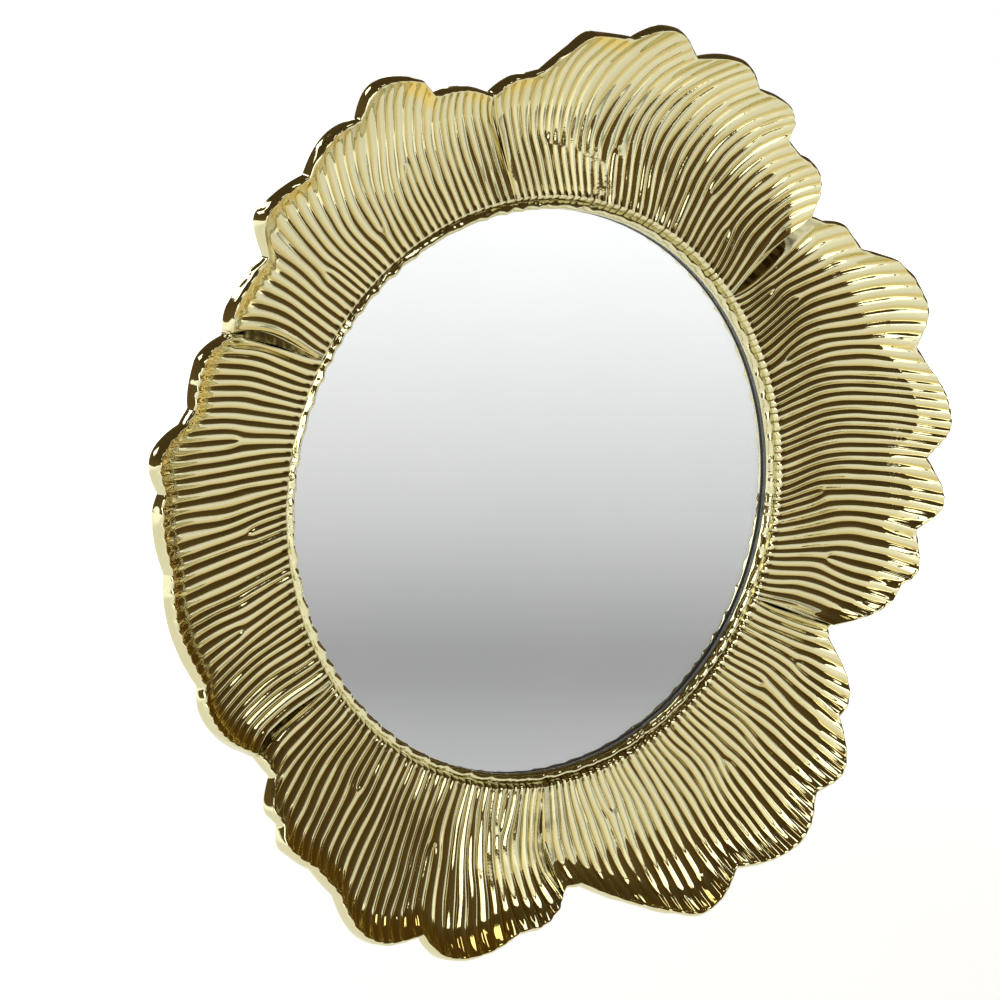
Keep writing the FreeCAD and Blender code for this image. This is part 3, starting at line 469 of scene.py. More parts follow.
def petal_front(petal, across, share, sizes):
    """Front of a petal from the ring to the crest of its lip: angle, radius, height, grooves, reach, and the
    painted amber reflection.

    Height = root + dish + lift of the margins + turned-up lip - grooves. The lip rises over its last
    millimetres to the power 1.5. A margin's lift falls with the square of the distance into the petal
    and follows a sine along the margin. An upper margin rolls down over its last millimetre and a half,
    in a quarter circle.
    """
    reach = rib_reach(petal, across, sizes)
    out = share * reach
    angle = rib_angle(petal, across, out, sizes)
    dish = dish_height(petal, across, out, sizes) + sizes.groove_depth * 0.4
    along = np.sin(np.pi / 2 * np.clip(share / 0.55, 0, 2))
    first, last = (high * near for high, near in zip(petal["lift"], near_margins(across, MARGIN)))
    roll = 0.0
    for inside, high in margins(petal, across, out * sizes.petal_length, sizes):
        if high > 0:
            quarter = 1 - np.sqrt(1 - np.clip(1 - inside / 1.6, 0, 1) ** 2)
            roll = roll + 0.8 * min(high, 1.6) / 1.6 * quarter
    inward = (reach - out) * sizes.petal_length
    lip = sizes.lip_rise * np.clip(1 - inward / sizes.lip_width, 0, 1) ** 1.5
    sway = 0.22 * soft_noise(across * 7, out * 5, petal["seed"] + 9) * ramp(share, 0.1, 0.4)
    depth, hollow_shade = grooves(petal, across, out, reach, sizes)
    height = dish + (first + last - roll) * along + lip + sway - depth
    height = height + fine_ribs(petal, across, out, reach, angle)
    # Painted reflection of the gold in the turned-up lip, as amber
    amber = amber_reflection_share(angle, inward + 0.9 * soft_noise(angle / 0.8, 0 * angle, petal["seed"] + 12))
    return angle, sizes.root_radius + out * sizes.petal_length, height, hollow_shade, reach, amber


def back_angle(petal, across, radius, sizes):
    """Angle of a rib's section behind the petal, at a radius in millimetres."""
    return rib_angle(petal, across, np.clip((radius - sizes.root_radius) / sizes.petal_length, 0, 1), sizes)


def petal_section_after(petal, across, crest, sizes):
    """Rest of the section after the crest: over the rounded lip, down the splayed flank, round its foot,
    along the back to the foot ring, and inside it to the groove beside the bead. The flank's steps are
    smooth curves through a few points (share of the splay outward, share of the drop) measured from the
    crest. Bumps of the crest die out down the flank, and hand-worked lumps a few degrees long are deepest
    half way down it. The back lies a wall's thickness behind the dish of the front, and deeper still
    under the margins, where the front dives."""
    angle, radius, height = crest
    outward = np.array([0.0, 0.2, 0.45, 0.68, 0.84, 0.94, 0.99, 1.0, 0.9, 0.62, 0.1]) * sizes.flank_splay
    forward = np.array([0.0, 0.02, -0.06, -0.2, -0.4, -0.62, -0.85, -1.0, -1.13, -1.21, -1.25])
    forward = forward * sizes.flank_drop
    steps = np.linspace(0, 1, len(outward))
    t = np.linspace(0, 1, FLANK_ROWS + 1)[1:, None] + 0 * across[None]
    reach = 2 * sizes.columns_per_rib
    window = np.ones(2 * reach + 1) / (2 * reach + 1)
    mean = np.convolve(np.pad(height, reach, mode="edge"), window, mode="valid")
    level = mean + (height - mean) * (1 - ramp(t, 0.0, 0.34))
    lump = soft_noise(angle / 3.1 + 0 * t, 5 + 1.7 * t, 77)
    lump = lump + 0.6 * soft_noise(angle / 1.3 + 0 * t, 9 + 2.2 * t, 78)
    lump = lump * np.sin(np.pi * np.clip(t / 0.8, 0, 1)) * 0.55
    flank = [angle + 0 * t, radius + smooth(steps, outward, t) + lump * 0.7,
             level + smooth(steps, forward, t) + lump * 0.5]
    w = np.linspace(0, 1, BACK_ROWS + 1)[1:, None] + 0 * across[None]
    start_radius, start_height = flank[1][-1], flank[2][-1]
    back_radius = start_radius + (sizes.foot_radius + sizes.foot_flare - 1.0 - start_radius) * w
    stock = sizes.wall + MARGIN_STOCK * (1 - ramp(np.minimum(across, 1 - across), 0.0, 0.1))
    behind, behind_start = (
        dish_height(petal, across, np.clip((place - sizes.root_radius) / sizes.petal_length, 0, 1), sizes)
        - stock
        for place in (back_radius, start_radius))
    back_height = behind + (start_height - behind_start) * (1 - ramp(w, 0.0, 0.42))
    foot_height = sizes.land + sizes.foot_depth + 0.6
    back_height = back_height + (foot_height - back_height) * ramp(w, 0.72, 1.0)
    turned = back_angle(petal, across[None], back_radius, sizes)
    end_angle = angle + (turned - angle) * ramp(w, 0.0, BACK_TURN)
    ring_angle = rib_angle(petal, across, 0 * across, sizes)
    # radius and height of the last rows, inside the foot ring
    inner = np.array([[118.0, 8.4], [108.0, 9.6], [104.3, 10.9], [103.4, 11.9]])
    inside = [ring_angle + np.zeros((len(inner), 1)), inner[:, :1] + 0 * across[None],
              inner[:, 1:] + 0 * across[None]]
    return [np.concatenate(parts) for parts in zip(flank, [end_angle, back_radius, back_height], inside)]


def petal_strip(petal, following, sizes):
    """One petal as a closed ribbon of sections, from its first margin to the next petal's first margin.

    The lower of the two margins dives under the upper one: its height sinks with the distance from its
    last rib to the power 1.6, and the upper margin then stands up as a small step. A collar leads from
    the groove beside the bead up to the roots of the ribs in a quarter sine. Returns the sections as
    angle, radius and height, and the values that the plating reads.
    """
    across = np.linspace(0, 1, petal["ribs"] * sizes.columns_per_rib + 1)
    # the rows lie closer at the roots and at the lip
    share = np.concatenate([np.linspace(0, 0.08, 13)[:-1], np.linspace(0.08, 0.84, 58)[:-1],
                            np.linspace(0.84, 1.0, 20)])[:, None]
    angle, radius, height, hollow_shade, reach, amber = petal_front(petal, across[None], share, sizes)
    beside = petal_front(following, np.zeros((1, 1)), share, sizes)
    gap = max(petal["band"][1], following["band"][0])
    open_share = np.sin(np.pi * np.clip(share * reach[:, -1:] / BAND_END, 0.06, 0.94)) ** 0.6
    open_share = open_share * min(1, gap / 2.0)
    # w: share of the way from the petal's last rib to the next petal's first
    if petal["lift"][1] > following["lift"][0]:
        w = np.array([0.02, 0.05, 0.12, 0.2, 0.3, 0.42, 0.55, 0.7, 0.85, 1.0])[None]
        low = beside[2] - DIVE * open_share * (1 - w) ** 1.6
        step_height = np.where(w < 0.04, np.minimum(low, height[:, -1:] - 0.15), low)
    else:
        w = np.array([0.15, 0.3, 0.45, 0.58, 0.7, 0.8, 0.88, 0.95, 0.98, 1.0])[None]
        low = height[:, -1:] - DIVE * open_share * w ** 1.6
        step_height = np.where(w > 0.99, beside[2], low)
    run = share * reach * sizes.petal_length
    # Painted shade, near-black: at the roots of the grooves, and in the band where one petal's margin dives
    # under the next
    root_pit_shade = 0.8 * ramp(hollow_shade, 0.55, 0.9) * (1 - ramp(run, 0.8, 2.8))
    patchy = 0.8 + 0.35 * soft_noise(0 * w + share * 31, 0 * share + w * 2, petal["seed"] + 21)
    seam_shade = np.concatenate([root_pit_shade, np.clip(open_share * patchy, 0, 1) * ramp(w, 0.0, 0.12)], 1)
    angle, radius, hollow_shade, amber = (
        np.concatenate([own, own[:, -1:] + (other - own[:, -1:]) * w], 1)
        for own, other in ((angle, beside[0] + following["turn_gap"]), (radius, beside[1]),
                           (hollow_shade, 0 * beside[3]), (amber, beside[5])))
    height = np.concatenate([height, step_height + 0 * share], 1)
    climb = np.linspace(0, 1, 7)[:-1, None]
    groove = sizes.glass_front + 1.75
    ripple = 0.12 * soft_noise(angle[:1] / 1.7, 0 * angle[:1] + 2, petal["seed"] + 8)
    collar = [angle[:1] + 0 * climb,
              sizes.root_radius - sizes.collar_width * (1 - climb) + ripple * np.sin(np.pi * climb),
              groove + (height[:1] - groove) * np.sin(climb * np.pi / 2) + 0 * angle[:1]]
    all_across = np.concatenate([across, np.ones(w.shape[1])])
    after = petal_section_after(petal, all_across, (angle[-1], radius[-1], height[-1]), sizes)
    # between the petals the back spreads as the front does
    gap_columns = slice(-w.shape[1], None)
    after[0][FLANK_ROWS + BACK_ROWS:, gap_columns] = angle[0, gap_columns]
    back = slice(FLANK_ROWS, FLANK_ROWS + BACK_ROWS)
    place = after[1][back, gap_columns]
    spread = back_angle(following, 0 * place, place, sizes) + following["turn_gap"]
    spread = spread - back_angle(petal, 1 + 0 * place, place, sizes)
    back_share = np.linspace(0, 1, BACK_ROWS + 1)[1:, None]
    after[0][back, gap_columns] += spread * w * ramp(back_share, 0.0, BACK_TURN)
    sections = [np.concatenate(parts) for parts in zip(collar, (angle, radius, height), after)]
    values = {name: np.concatenate([value[:1] + 0 * climb, value, np.zeros_like(after[0])])
              for name, value in (("hollow_shade", hollow_shade), ("amber", amber), ("seam_shade", seam_shade))}
    # the finish grows dull over ten rows, from low on the flank to the back
    row = np.arange(len(sections[0]))[:, None] - len(climb) - len(share)
    values["underside"] = np.clip((row - 18) / 10, 0, 1) + 0 * values["hollow_shade"]
    return sections, values


def end_caps(rows, columns):
    """Ladder of quads across each open end of a ribbon, between its front and the way back inside. An odd
    number of rows leaves a triangle at the ladder's end."""
    half = rows // 2
    step = np.arange(half - 1)
    caps = []
    for column, turned in ((0, True), (columns - 1, False)):
        near, far = step * columns + column, (rows - 1 - step) * columns + column
        quad = np.stack([near, near + columns, far - columns, far], -1)
        caps.append(quad[:, ::-1] if turned else quad)
        if rows % 2:
            last = np.array([[half - 1, half, half + 1]]) * columns + column
            caps.append(last[:, ::-1] if turned else last)
    return caps


def make_petals(sizes, material):
    """Six petals, each one closed ribbon that ends where the next begins."""
    pairs = list(zip(PETALS, PETALS[1:] + PETALS[:1]))
    for petal, following in pairs:
        petal["width"] = (following["root"] - petal["root"]) % 360
        following["turn_gap"] = petal["root"] + petal["width"] - following["root"]
    for petal, following in pairs:
        sections, values = petal_strip(petal, following, sizes)
        rows, columns = sections[0].shape
        faces = [grid_faces(rows, columns, close_rows=True), *end_caps(rows, columns)]
        add_casting(petal["name"], sections, faces, material, values)


class MIRROR_OT_petals(bpy.types.Operator):
    """Six overlapping ribbed petals with turned-up lips"""
    bl_idname = "mirror.petals"
    bl_label = "Petals"

    def execute(self, context):
        make_petals(context.scene.mirror_sizes, gold_plating(context.scene.mirror_colours))
        return {"FINISHED"}


# Bead and foot ring

def make_bead(sizes, material):
    """Hand-carved bead: a closed ring whose section is a smooth loop, pushed in and out and up and down
    by uneven scallops and by the chatter of the knife. The height follows the wave some columns late."""
    scallops, columns, rows, lag = 74, 2160, 59, 10
    turns = np.linspace(0, 360, columns + 1)[:-1][None]
    wander = 2.6 * soft_noise(turns / 17, 0 * turns + 3, 5)
    scallop = 1.7 * np.abs(np.sin(scallops / 2 * np.radians(turns) + wander)) - 1.1
    wave = scallop * (0.75 + 0.5 * soft_noise(turns / 9, 0 * turns + 9, 6))
    chatter = 0.35 * soft_noise(turns / 0.8, 0 * turns + 30, 7)
    front = sizes.glass_front
    # outline of the section: radius from the sight edge, height over the glass, share of the wave
    outline = np.array([
        (0.00, 0.00, 0.00), (0.00, 0.55, 0.15), (0.10, 1.25, 0.5), (0.42, 1.95, 0.85), (0.95, 2.50, 1.0),
        (1.45, 2.70, 1.0), (1.95, 2.58, 0.9), (2.40, 2.25, 0.7), (2.80, 1.90, 0.45), (3.10, 1.70, 0.2),
        (3.45, 1.60, 0.0), (3.60, 1.10, 0.0), (3.50, 0.30, 0.0), (2.40, 0.00, 0.0), (1.00, 0.00, 0.0)])
    loop = np.concatenate([outline, outline[:1]])
    t = np.linspace(0, len(outline), rows + 1)[:-1]
    steps = np.arange(len(loop))
    radius, height, share = (smooth(steps, loop[:, column], t)[:, None] for column in range(3))
    height = np.maximum(height, 0.0)
    radius = sizes.sight_radius + np.maximum(radius, 0.0) + 0.55 * (wave + chatter) * share
    height = front + height + 0.34 * np.roll(wave + chatter, lag, 1) * share
    faces = grid_faces(rows, columns, close_rows=True, close_columns=True)
    # Painted shadow: the plating turns amber on the bead's outer side, where it meets the petals
    hollow_shade = 0.6 * ramp(radius, sizes.sight_radius + 2.6, sizes.sight_radius + 3.4)
    add_casting("carved_bead", (turns + 0 * radius, radius, height), faces, material, {"hollow_shade": hollow_shade})


def make_foot_ring(sizes, material):
    """Foot ring: a closed section carried round the glass, whose land is sunk where the hanger's pocket
    crosses it. Beside the pocket the columns are parallel to its sides instead of radial."""
    half_pocket, depth, top = 19.0, 2.1, 90.0
    # evenly spaced columns give way to three in the pocket
    plain = np.linspace(0, 360, 241)[:-1]
    plain = plain[np.abs(plain - top) > 12]
    turns = np.concatenate([plain, [top - 6, top, top + 6]])
    sides = np.array([-1, -1, 1, 1])
    sunk = np.array([1, 0, 0, 1])
    # section: radius, height, and 1 where the pocket lowers it
    land, front = sizes.land, sizes.glass_front
    rebate, foot, flare = sizes.rebate_radius, sizes.foot_radius, sizes.foot_flare
    section = np.array([
        (rebate, front, 0), (rebate, 6.0, 0), (rebate, land + 0.25, 1), (rebate + 0.25, land, 1),
        (rebate + 6, land, 1), (rebate + 12, land, 1), (foot - 0.4, land, 1), (foot, land + 0.4, 1),
        (foot + flare / 2, land + sizes.foot_depth / 2, 0), (foot + flare, land + sizes.foot_depth, 0),
        (foot + flare - 0.4, 8.0, 0), (112.0, 9.0, 0), (104.4, 11.6, 0), (103.5, 12.0, 0), (103.4, front, 0)])
    radius, height, lowered = (section[:, column][:, None] for column in range(3))
    pocket_turns = top - sides[None] * np.degrees(np.arcsin(half_pocket / radius))
    inner = np.abs(turns - top) < 8
    angle = np.concatenate([turns[None] + 0 * radius, pocket_turns], 1)
    sink = np.concatenate([inner.astype(float), sunk])[None] * lowered
    raised = np.maximum(height, land + depth) * sink + height * (1 - sink)
    # the two columns of a pocket side are told apart by a hair when they are put in order
    order = np.argsort(np.concatenate([turns, pocket_turns[4] + np.array([-1e-3, 1e-3, -1e-3, 1e-3])]))
    angle, raised = angle[:, order], raised[:, order]
    radius = radius + 0 * angle
    faces = grid_faces(len(section), angle.shape[1], close_rows=True, close_columns=True)
    values = {"underside": 1 + 0 * angle}
    shade_flat(add_casting("foot_ring", (angle, radius, raised), faces, material, values, flip=True))


class MIRROR_OT_rings(bpy.types.Operator):
    """Carved bead round the glass and foot ring behind the petals"""
    bl_idname = "mirror.rings"
    bl_label = "Bead and foot ring"

    def execute(self, context):
        sizes, colours = context.scene.mirror_sizes, context.scene.mirror_colours
        make_bead(sizes, gold_plating(colours))
        make_foot_ring(sizes, gold_plating(colours))
        return {"FINISHED"}


# Materials

def add_material(name, **constants):
    """New material with constants on its Principled BSDF, such as Base_Color; returns its tree too."""
    material = bpy.data.materials.new(name)
    material.use_nodes = True
    shader = material.node_tree.nodes["Principled BSDF"]
    for key, value in constants.items():
        shader.inputs[key.replace("_", " ")].default_value = value
    return material, material.node_tree, shader


def add_node(tree, kind, sources=(), **settings):
    """New node with its settings. Each source is an input and a socket to link to it, or its constant."""
    node = tree.nodes.new(kind)
    for key, value in settings.items():
        setattr(node, key, value)
    for key, value in sources:
        if isinstance(value, bpy.types.NodeSocket):
            tree.links.new(value, node.inputs[key])
        else:
            node.inputs[key].default_value = value
    return node


def wear_group():
    """Node group "Fine wear": clouds, fine specks and hairlines from Object coordinates.

    Clouds are soft noise, specks a finer noise, and hairlines a noise stretched along one axis.
    """
    if "Fine wear" in bpy.data.node_groups:
        return bpy.data.node_groups["Fine wear"]
    group = bpy.data.node_groups.new("Fine wear", "ShaderNodeTree")
    kinds = (("Cloud", 3.0), ("Speck", 2.0), ("Hairline", 1.0))
    for name, _ in kinds:
        socket = group.interface.new_socket(f"{name} Scale", in_out="INPUT", socket_type="NodeSocketFloat")
        socket.default_value = 60.0
    for name, _ in kinds:
        group.interface.new_socket(f"{name}s", in_out="OUTPUT", socket_type="NodeSocketFloat")
    start, end = group.nodes.new("NodeGroupInput"), group.nodes.new("NodeGroupOutput")
    place = group.nodes.new("ShaderNodeTexCoord").outputs["Object"]
    stretch = add_node(group, "ShaderNodeMapping", (("Vector", place), ("Scale", (1.0, 1.0, 0.06))))
    for name, detail in kinds:
        source = stretch.outputs["Vector"] if name == "Hairline" else place
        noise = add_node(group, "ShaderNodeTexNoise", (("Vector", source), ("Detail", detail),
                                                       ("Scale", start.outputs[f"{name} Scale"])))
        group.links.new(noise.outputs["Fac"], end.inputs[f"{name}s"])
    return group


def add_wear(tree, cloud, speck, hairline):
    """Outputs of the group "Fine wear" with these scales."""
    scales = (("Cloud Scale", cloud), ("Speck Scale", speck), ("Hairline Scale", hairline))
    node = tree.nodes.new("ShaderNodeGroup")
    node.node_tree = wear_group()
    for key, value in scales:
        node.inputs[key].default_value = value
    return node.outputs


def point_value(tree, name):
    """A mesh's named value at every point."""
    return add_node(tree, "ShaderNodeAttribute", attribute_name=name).outputs["Fac"]


def map_range(tree, source, low, high, to_low, to_high):
    return add_node(tree, "ShaderNodeMapRange", (
        ("Value", source), ("From Min", low), ("From Max", high), ("To Min", to_low), ("To Max", to_high),
    )).outputs["Result"]


def mix_colour(tree, factor, first, second):
    first, second = (value if isinstance(value, bpy.types.NodeSocket) else (*value, 1.0)
                     for value in (first, second))
    return add_node(tree, "ShaderNodeMix", (("Factor", factor), (6, first), (7, second)),
                    data_type="RGBA").outputs[2]


def total(tree, first, second, kind="ADD"):
    return add_node(tree, "ShaderNodeMath", ((0, first), (1, second)), operation=kind).outputs["Value"]


def add_coats(tree, shader, tone, *coats):
    """Base Color: a tone with coats over it, each a share and a colour."""
    for share, coat in coats:
        tone = mix_colour(tree, share, tone, coat)
    tree.links.new(tone, shader.inputs["Base Color"])


def add_bump(tree, shader, height, strength, distance):
    sources = (("Height", height), ("Strength", strength), ("Distance", distance))
    bump = add_node(tree, "ShaderNodeBump", sources)
    tree.links.new(bump.outputs["Normal"], shader.inputs["Normal"])


def gold_plating(colours):
    """Vacuum plated champagne gold: bright on the ribs, with painted shade in the grooves and seams and a
    painted amber reflection inside the lip, duller behind.
    """
    if "gold_plating" in bpy.data.materials:
        return bpy.data.materials["gold_plating"]
    material, tree, shader = add_material("gold_plating", Metallic=1.0)
    wear = add_wear(tree, 35.0, 900.0, 420.0)
    underside = point_value(tree, "underside")
    add_coats(tree, shader, colours.gold,
              # Painted shade in the grooves: the deeper in a groove, the more amber
              (map_range(tree, point_value(tree, "hollow_shade"), 0.35, 1.0, 0.0, 0.75), colours.amber),
              # Painted reflection: amber zones inside the lip, where the gold reflects itself
              (point_value(tree, "amber"), (0.80, 0.60, 0.15)),
              (map_range(tree, wear["Clouds"], 0.35, 0.65, 0.0, 0.10), colours.amber),
              (map_range(tree, underside, 0.0, 1.0, 0.0, 0.35), (0.50, 0.42, 0.20)),
              # Painted shade in the seams between petals and at the roots of the grooves
              (map_range(tree, point_value(tree, "seam_shade"), 0.2, 0.8, 0.0, 0.95), (0.085, 0.058, 0.018)))
    gloss = map_range(tree, wear["Clouds"], 0.3, 0.7, 0.045, 0.085)
    dull = map_range(tree, underside, 0.0, 1.0, 0.0, 0.22)
    tree.links.new(total(tree, gloss, dull), shader.inputs["Roughness"])
    height = total(tree, wear["Clouds"], total(tree, wear["Specks"], 0.25, "MULTIPLY"))
    add_bump(tree, shader, height, 0.12, 0.0006)
    return material


def clear_glass():
    """Float glass: clear, with the faint green of its iron."""
    material, tree, shader = add_material("float_glass", Transmission_Weight=1.0, IOR=1.52, Roughness=0.0)
    clouds = add_wear(tree, 9.0, 1500.0, 700.0)["Clouds"]
    add_coats(tree, shader, (0.985, 0.992, 0.988),
              (map_range(tree, clouds, 0.35, 0.65, 0.0, 1.0), (0.98, 0.99, 0.985)))
    return material


def silvering(colours):
    """Silver film, bright in front, under a grey-green protective paint behind, and a dull grey outer line:
    painted reflection of the shaded strip in the glass's edge.
    """
    material, tree, shader = add_material("silvering")
    painted, dull = point_value(tree, "painted"), point_value(tree, "dull")
    wear = add_wear(tree, 18.0, 1500.0, 700.0)
    add_coats(tree, shader, colours.silver,
              (map_range(tree, wear["Clouds"], 0.35, 0.65, 0.0, 0.4), (0.935, 0.94, 0.94)),
              # Painted reflection: the dull grey ring stands for the shaded strip seen in the glass's edge
              (dull, (0.70, 0.74, 0.74)), (painted, (0.20, 0.23, 0.22)))
    bare = map_range(tree, total(tree, painted, dull, "MAXIMUM"), 0.0, 1.0, 1.0, 0.15)
    tree.links.new(bare, shader.inputs["Metallic"])
    gloss = total(tree, map_range(tree, wear["Specks"], 0.4, 0.8, 0.0, 0.008),
                  map_range(tree, painted, 0.0, 1.0, 0.0, 0.45))
    tree.links.new(gloss, shader.inputs["Roughness"])
    return material


def fibre_board(colours):
    """Brown hardboard: pressed fibres, lighter and darker, with a faint woven screen mark."""
    material, tree, shader = add_material("fibre_board", Roughness=0.78)
    wear = add_wear(tree, 120.0, 1400.0, 900.0)
    add_coats(tree, shader, colours.board,
              (map_range(tree, wear["Clouds"], 0.3, 0.7, 0.0, 0.6), (0.40, 0.25, 0.13)),
              (map_range(tree, wear["Hairlines"], 0.5, 0.72, 0.0, 0.55), (0.17, 0.09, 0.045)))
    add_bump(tree, shader, total(tree, wear["Specks"], wear["Hairlines"]), 0.5, 0.0002)
    return material


def zinc_steel(colours, name, cloud, rough):
    """Zinc plated steel: cool grey with a spangle of clouds and fine rolling lines."""
    material, tree, shader = add_material(name, Metallic=1.0)
    wear = add_wear(tree, cloud, 2600.0, 2200.0)
    add_coats(tree, shader, colours.zinc,
              (map_range(tree, wear["Clouds"], 0.35, 0.65, 0.0, 0.5), (0.72, 0.70, 0.60)))
    gloss = map_range(tree, wear["Hairlines"], 0.3, 0.7, rough - 0.06, rough + 0.08)
    tree.links.new(gloss, shader.inputs["Roughness"])
    add_bump(tree, shader, wear["Hairlines"], 0.2, 0.00005)
    return material


def soft_material(name, tone, second, rough, scale, bump):
    """Rubber or foam: even tone with a fine open grain of a second."""
    material, tree, shader = add_material(name, Roughness=rough)
    specks = add_wear(tree, scale / 6, scale, scale)["Specks"]
    add_coats(tree, shader, tone, (map_range(tree, specks, 0.35, 0.65, 0.0, 1.0), second))
    add_bump(tree, shader, specks, bump, 0.0002)
    return material


# Glass, its pads and the board

def make_glass(sizes, colours):
    """Float glass with arrised edges, and the silver film on its back as a thin disc, a hair behind it. The
    film's front is dull grey from just outside the sight edge, a painted reflection of the shaded strip
    that the glass's edge shows, and its back is painted."""
    front, outer = sizes.glass_front, sizes.rebate_radius - 1.0
    back = front - 2.96
    slab = [(0, back), (outer - 0.4, back), (outer - 0.02, back + 0.4), (outer, back + 0.8),
            (outer, front - 0.8), (outer - 0.02, front - 0.4), (outer - 0.4, front), (outer - 1.2, front),
            (outer / 2, front), (0, front)]
    film_front, film_back, rim = front - 2.97, front - 3.0, sizes.sight_radius + 0.1
    disc = [(0, film_back), (outer - 0.6, film_back), (outer - 0.6, film_front), (rim, film_front),
            (rim - 0.2, film_front), (outer / 2, film_front), (0, film_front)]
    columns = 256
    glass = turned_piece("float_glass", slab, clear_glass(), (0, 0), columns)
    film = turned_piece("silver_film", disc, silvering(colours), (0, 0), columns)
    # each value along the disc's outline: for its rings of points, and then for its two end points
    # dull: grey ring on the film's front, painted reflection of the glass edge's shaded strip
    for name, rows, ends in (("painted", (1.0, 0.0, 0.0, 0.0, 0.0), (1.0, 0.0)),
                             ("dull", (1.0, 1.0, 1.0, 0.0, 0.0), (0.0, 0.0))):
        add_values(film, name, np.concatenate([np.repeat(rows, columns), ends]))
    for item in (glass, film):
        shade_flat(item)
        fit_to_body(item, BODY, "silvered_glass", "mirror_glass")


def finish_nodes(*finishes):
    """Gives every node of the frame whose name starts with a word the material that goes with it."""
    for name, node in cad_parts.items():
        for start, material in finishes:
            if name.startswith(start) and node.material_slots:
                node.material_slots[0].material = material
            elif name.startswith(start):
                node.data.materials.append(material)


class MIRROR_OT_glazing(bpy.types.Operator):
    """Glass and silver film, and the finishes of the pads and of the board behind"""
    bl_idname = "mirror.glazing"
    bl_label = "Glazing"

    def execute(self, context):
        colours = context.scene.mirror_colours
        make_glass(context.scene.mirror_sizes, colours)
        foam = soft_material("white_foam", (0.80, 0.80, 0.77), (0.62, 0.62, 0.60), 0.9, 1500.0, 0.6)
        pads = soft_material("edge_rubber", colours.rubber, (0.04, 0.04, 0.04), 0.6, 1200.0, 0.3)
        finish_nodes(("backing_board", fibre_board(colours)), ("foam_pad_", foam), ("glass_edge_pad_", pads))
        return {"FINISHED"}


# Hardware behind the mirror

def on_circle(radius, angle):
    """Place at an angle in degrees on a circle round the glass."""
    turn = math.radians(angle)
    return radius * math.cos(turn), radius * math.sin(turn)


def screw_shape(sizes, seat, tip):
    """Shape of a screw: the head has a cross recess and the shank a thread.

    The recess is the union of two slots at right angles, each a smooth step at its half width, which
    shallows out to nothing at its length. The thread takes away a share of the shank's radius that is a
    squared sine of the height over the pitch less the turn, so its ridge is a helix.
    """
    half_width, length, depth = 0.34, 1.55, 0.6

    def slot(along, beside):
        inside = 1 - ramp(beside, half_width - 0.1, half_width + 0.1)
        return inside * (1 - ramp(along, length - 0.4, length))

    def shape(radius, height, turns):
        x, y = np.abs(radius * np.cos(turns)), np.abs(radius * np.sin(turns))
        slots = np.maximum(slot(x, y), slot(y, x))
        on_head = height < seat - 0.7
        height = height + np.where(on_head, depth * slots, 0)
        on_shank = ramp(height, seat + 0.5, seat + 1.0) * (1 - ramp(height, tip - 0.5, tip))
        groove = np.sin(np.pi * height / sizes.thread_pitch - turns / 2) ** 2
        return radius - 0.3 * on_shank * groove * (radius > 0.6), height

    return shape


def make_screw(name, centre, seat, length, sizes, material):
    """Pan head screw: domed head towards the wall, recess, thread and a blunt tip. The underside of the
    head is at the height seat."""
    head, shank = sizes.screw_head, sizes.screw_shank
    top, tip = seat - sizes.screw_head_height, seat + length
    dome = [(radius, top + 0.16 * (radius / 2.0) ** 4) for radius in np.linspace(0, 2.0, 15)]
    rim = [(2.3, top + 0.4), (head - 0.08, top + 0.66), (head, seat - 0.14), (head - 0.08, seat),
           (shank + 0.25, seat), (shank, seat + 0.2)]
    thread = [(shank, height) for height in np.arange(seat + 0.35, tip - 0.4, 0.11)]
    outline = dome + rim + thread + [(shank - 0.1, tip - 0.3), (0.7, tip - 0.05), (0, tip)]
    item = turned_piece(f"{name}_turned", outline, material, centre, 40, screw_shape(sizes, seat, tip))
    return fit_to_body(item, BODY, "zinc_screw", name)


class MIRROR_OT_screws(bpy.types.Operator):
    """Pan head screws of the clips and of the hanger"""
    bl_idname = "mirror.screws"
    bl_label = "Screws"

    def execute(self, context):
        sizes, colours = context.scene.mirror_sizes, context.scene.mirror_colours
        steel = zinc_steel(colours, "zinc_screw", 400.0, 0.3)
        for number in range(6):
            centre = on_circle(sizes.clip_circle, 60 * number)
            make_screw(f"clip_screw_{number + 1}", centre, sizes.clip_seat, sizes.clip_screw, sizes, steel)
        for number, side in enumerate((1, -1)):
            centre = (side * sizes.hanger_spacing / 2, sizes.foot_circle)
            name = f"hanger_screw_{number + 1}"
            make_screw(name, centre, sizes.hanger_seat, sizes.hanger_screw, sizes, steel)
        return {"FINISHED"}


class MIRROR_OT_bumpers(bpy.types.Operator):
    """Moulded rubber bumpers that rest on the wall"""
    bl_idname = "mirror.bumpers"
    bl_label = "Wall bumpers"

    def execute(self, context):
        sizes, colours = context.scene.mirror_sizes, context.scene.mirror_colours
        rubber = soft_material("bumper_rubber", colours.rubber, (0.035, 0.035, 0.036), 0.62, 900.0, 0.35)
        outer, top = sizes.bumper_radius, sizes.land
        outline = [(0, 0), (1.0, 0), (2.2, 0), (2.5, 0.12), (2.9, 0.12), (3.2, 0), (outer - 1.3, 0),
                   (outer - 0.8, 0.05), (outer - 0.45, 0.22), (outer - 0.18, 0.55), (outer - 0.04, 1.0),
                   (outer, top - 0.25), (outer - 0.08, top - 0.06), (outer - 0.25, top), (1.0, top), (0, top)]
        for number, angle in enumerate((30, 150, 210, 330)):
            name, centre = f"wall_bumper_{number + 1}", on_circle(sizes.foot_circle, angle)
            item = turned_piece(f"{name}_moulded", outline, rubber, centre, 72)
            fit_to_body(item, BODY, "bumper_rubber", name)
        return {"FINISHED"}


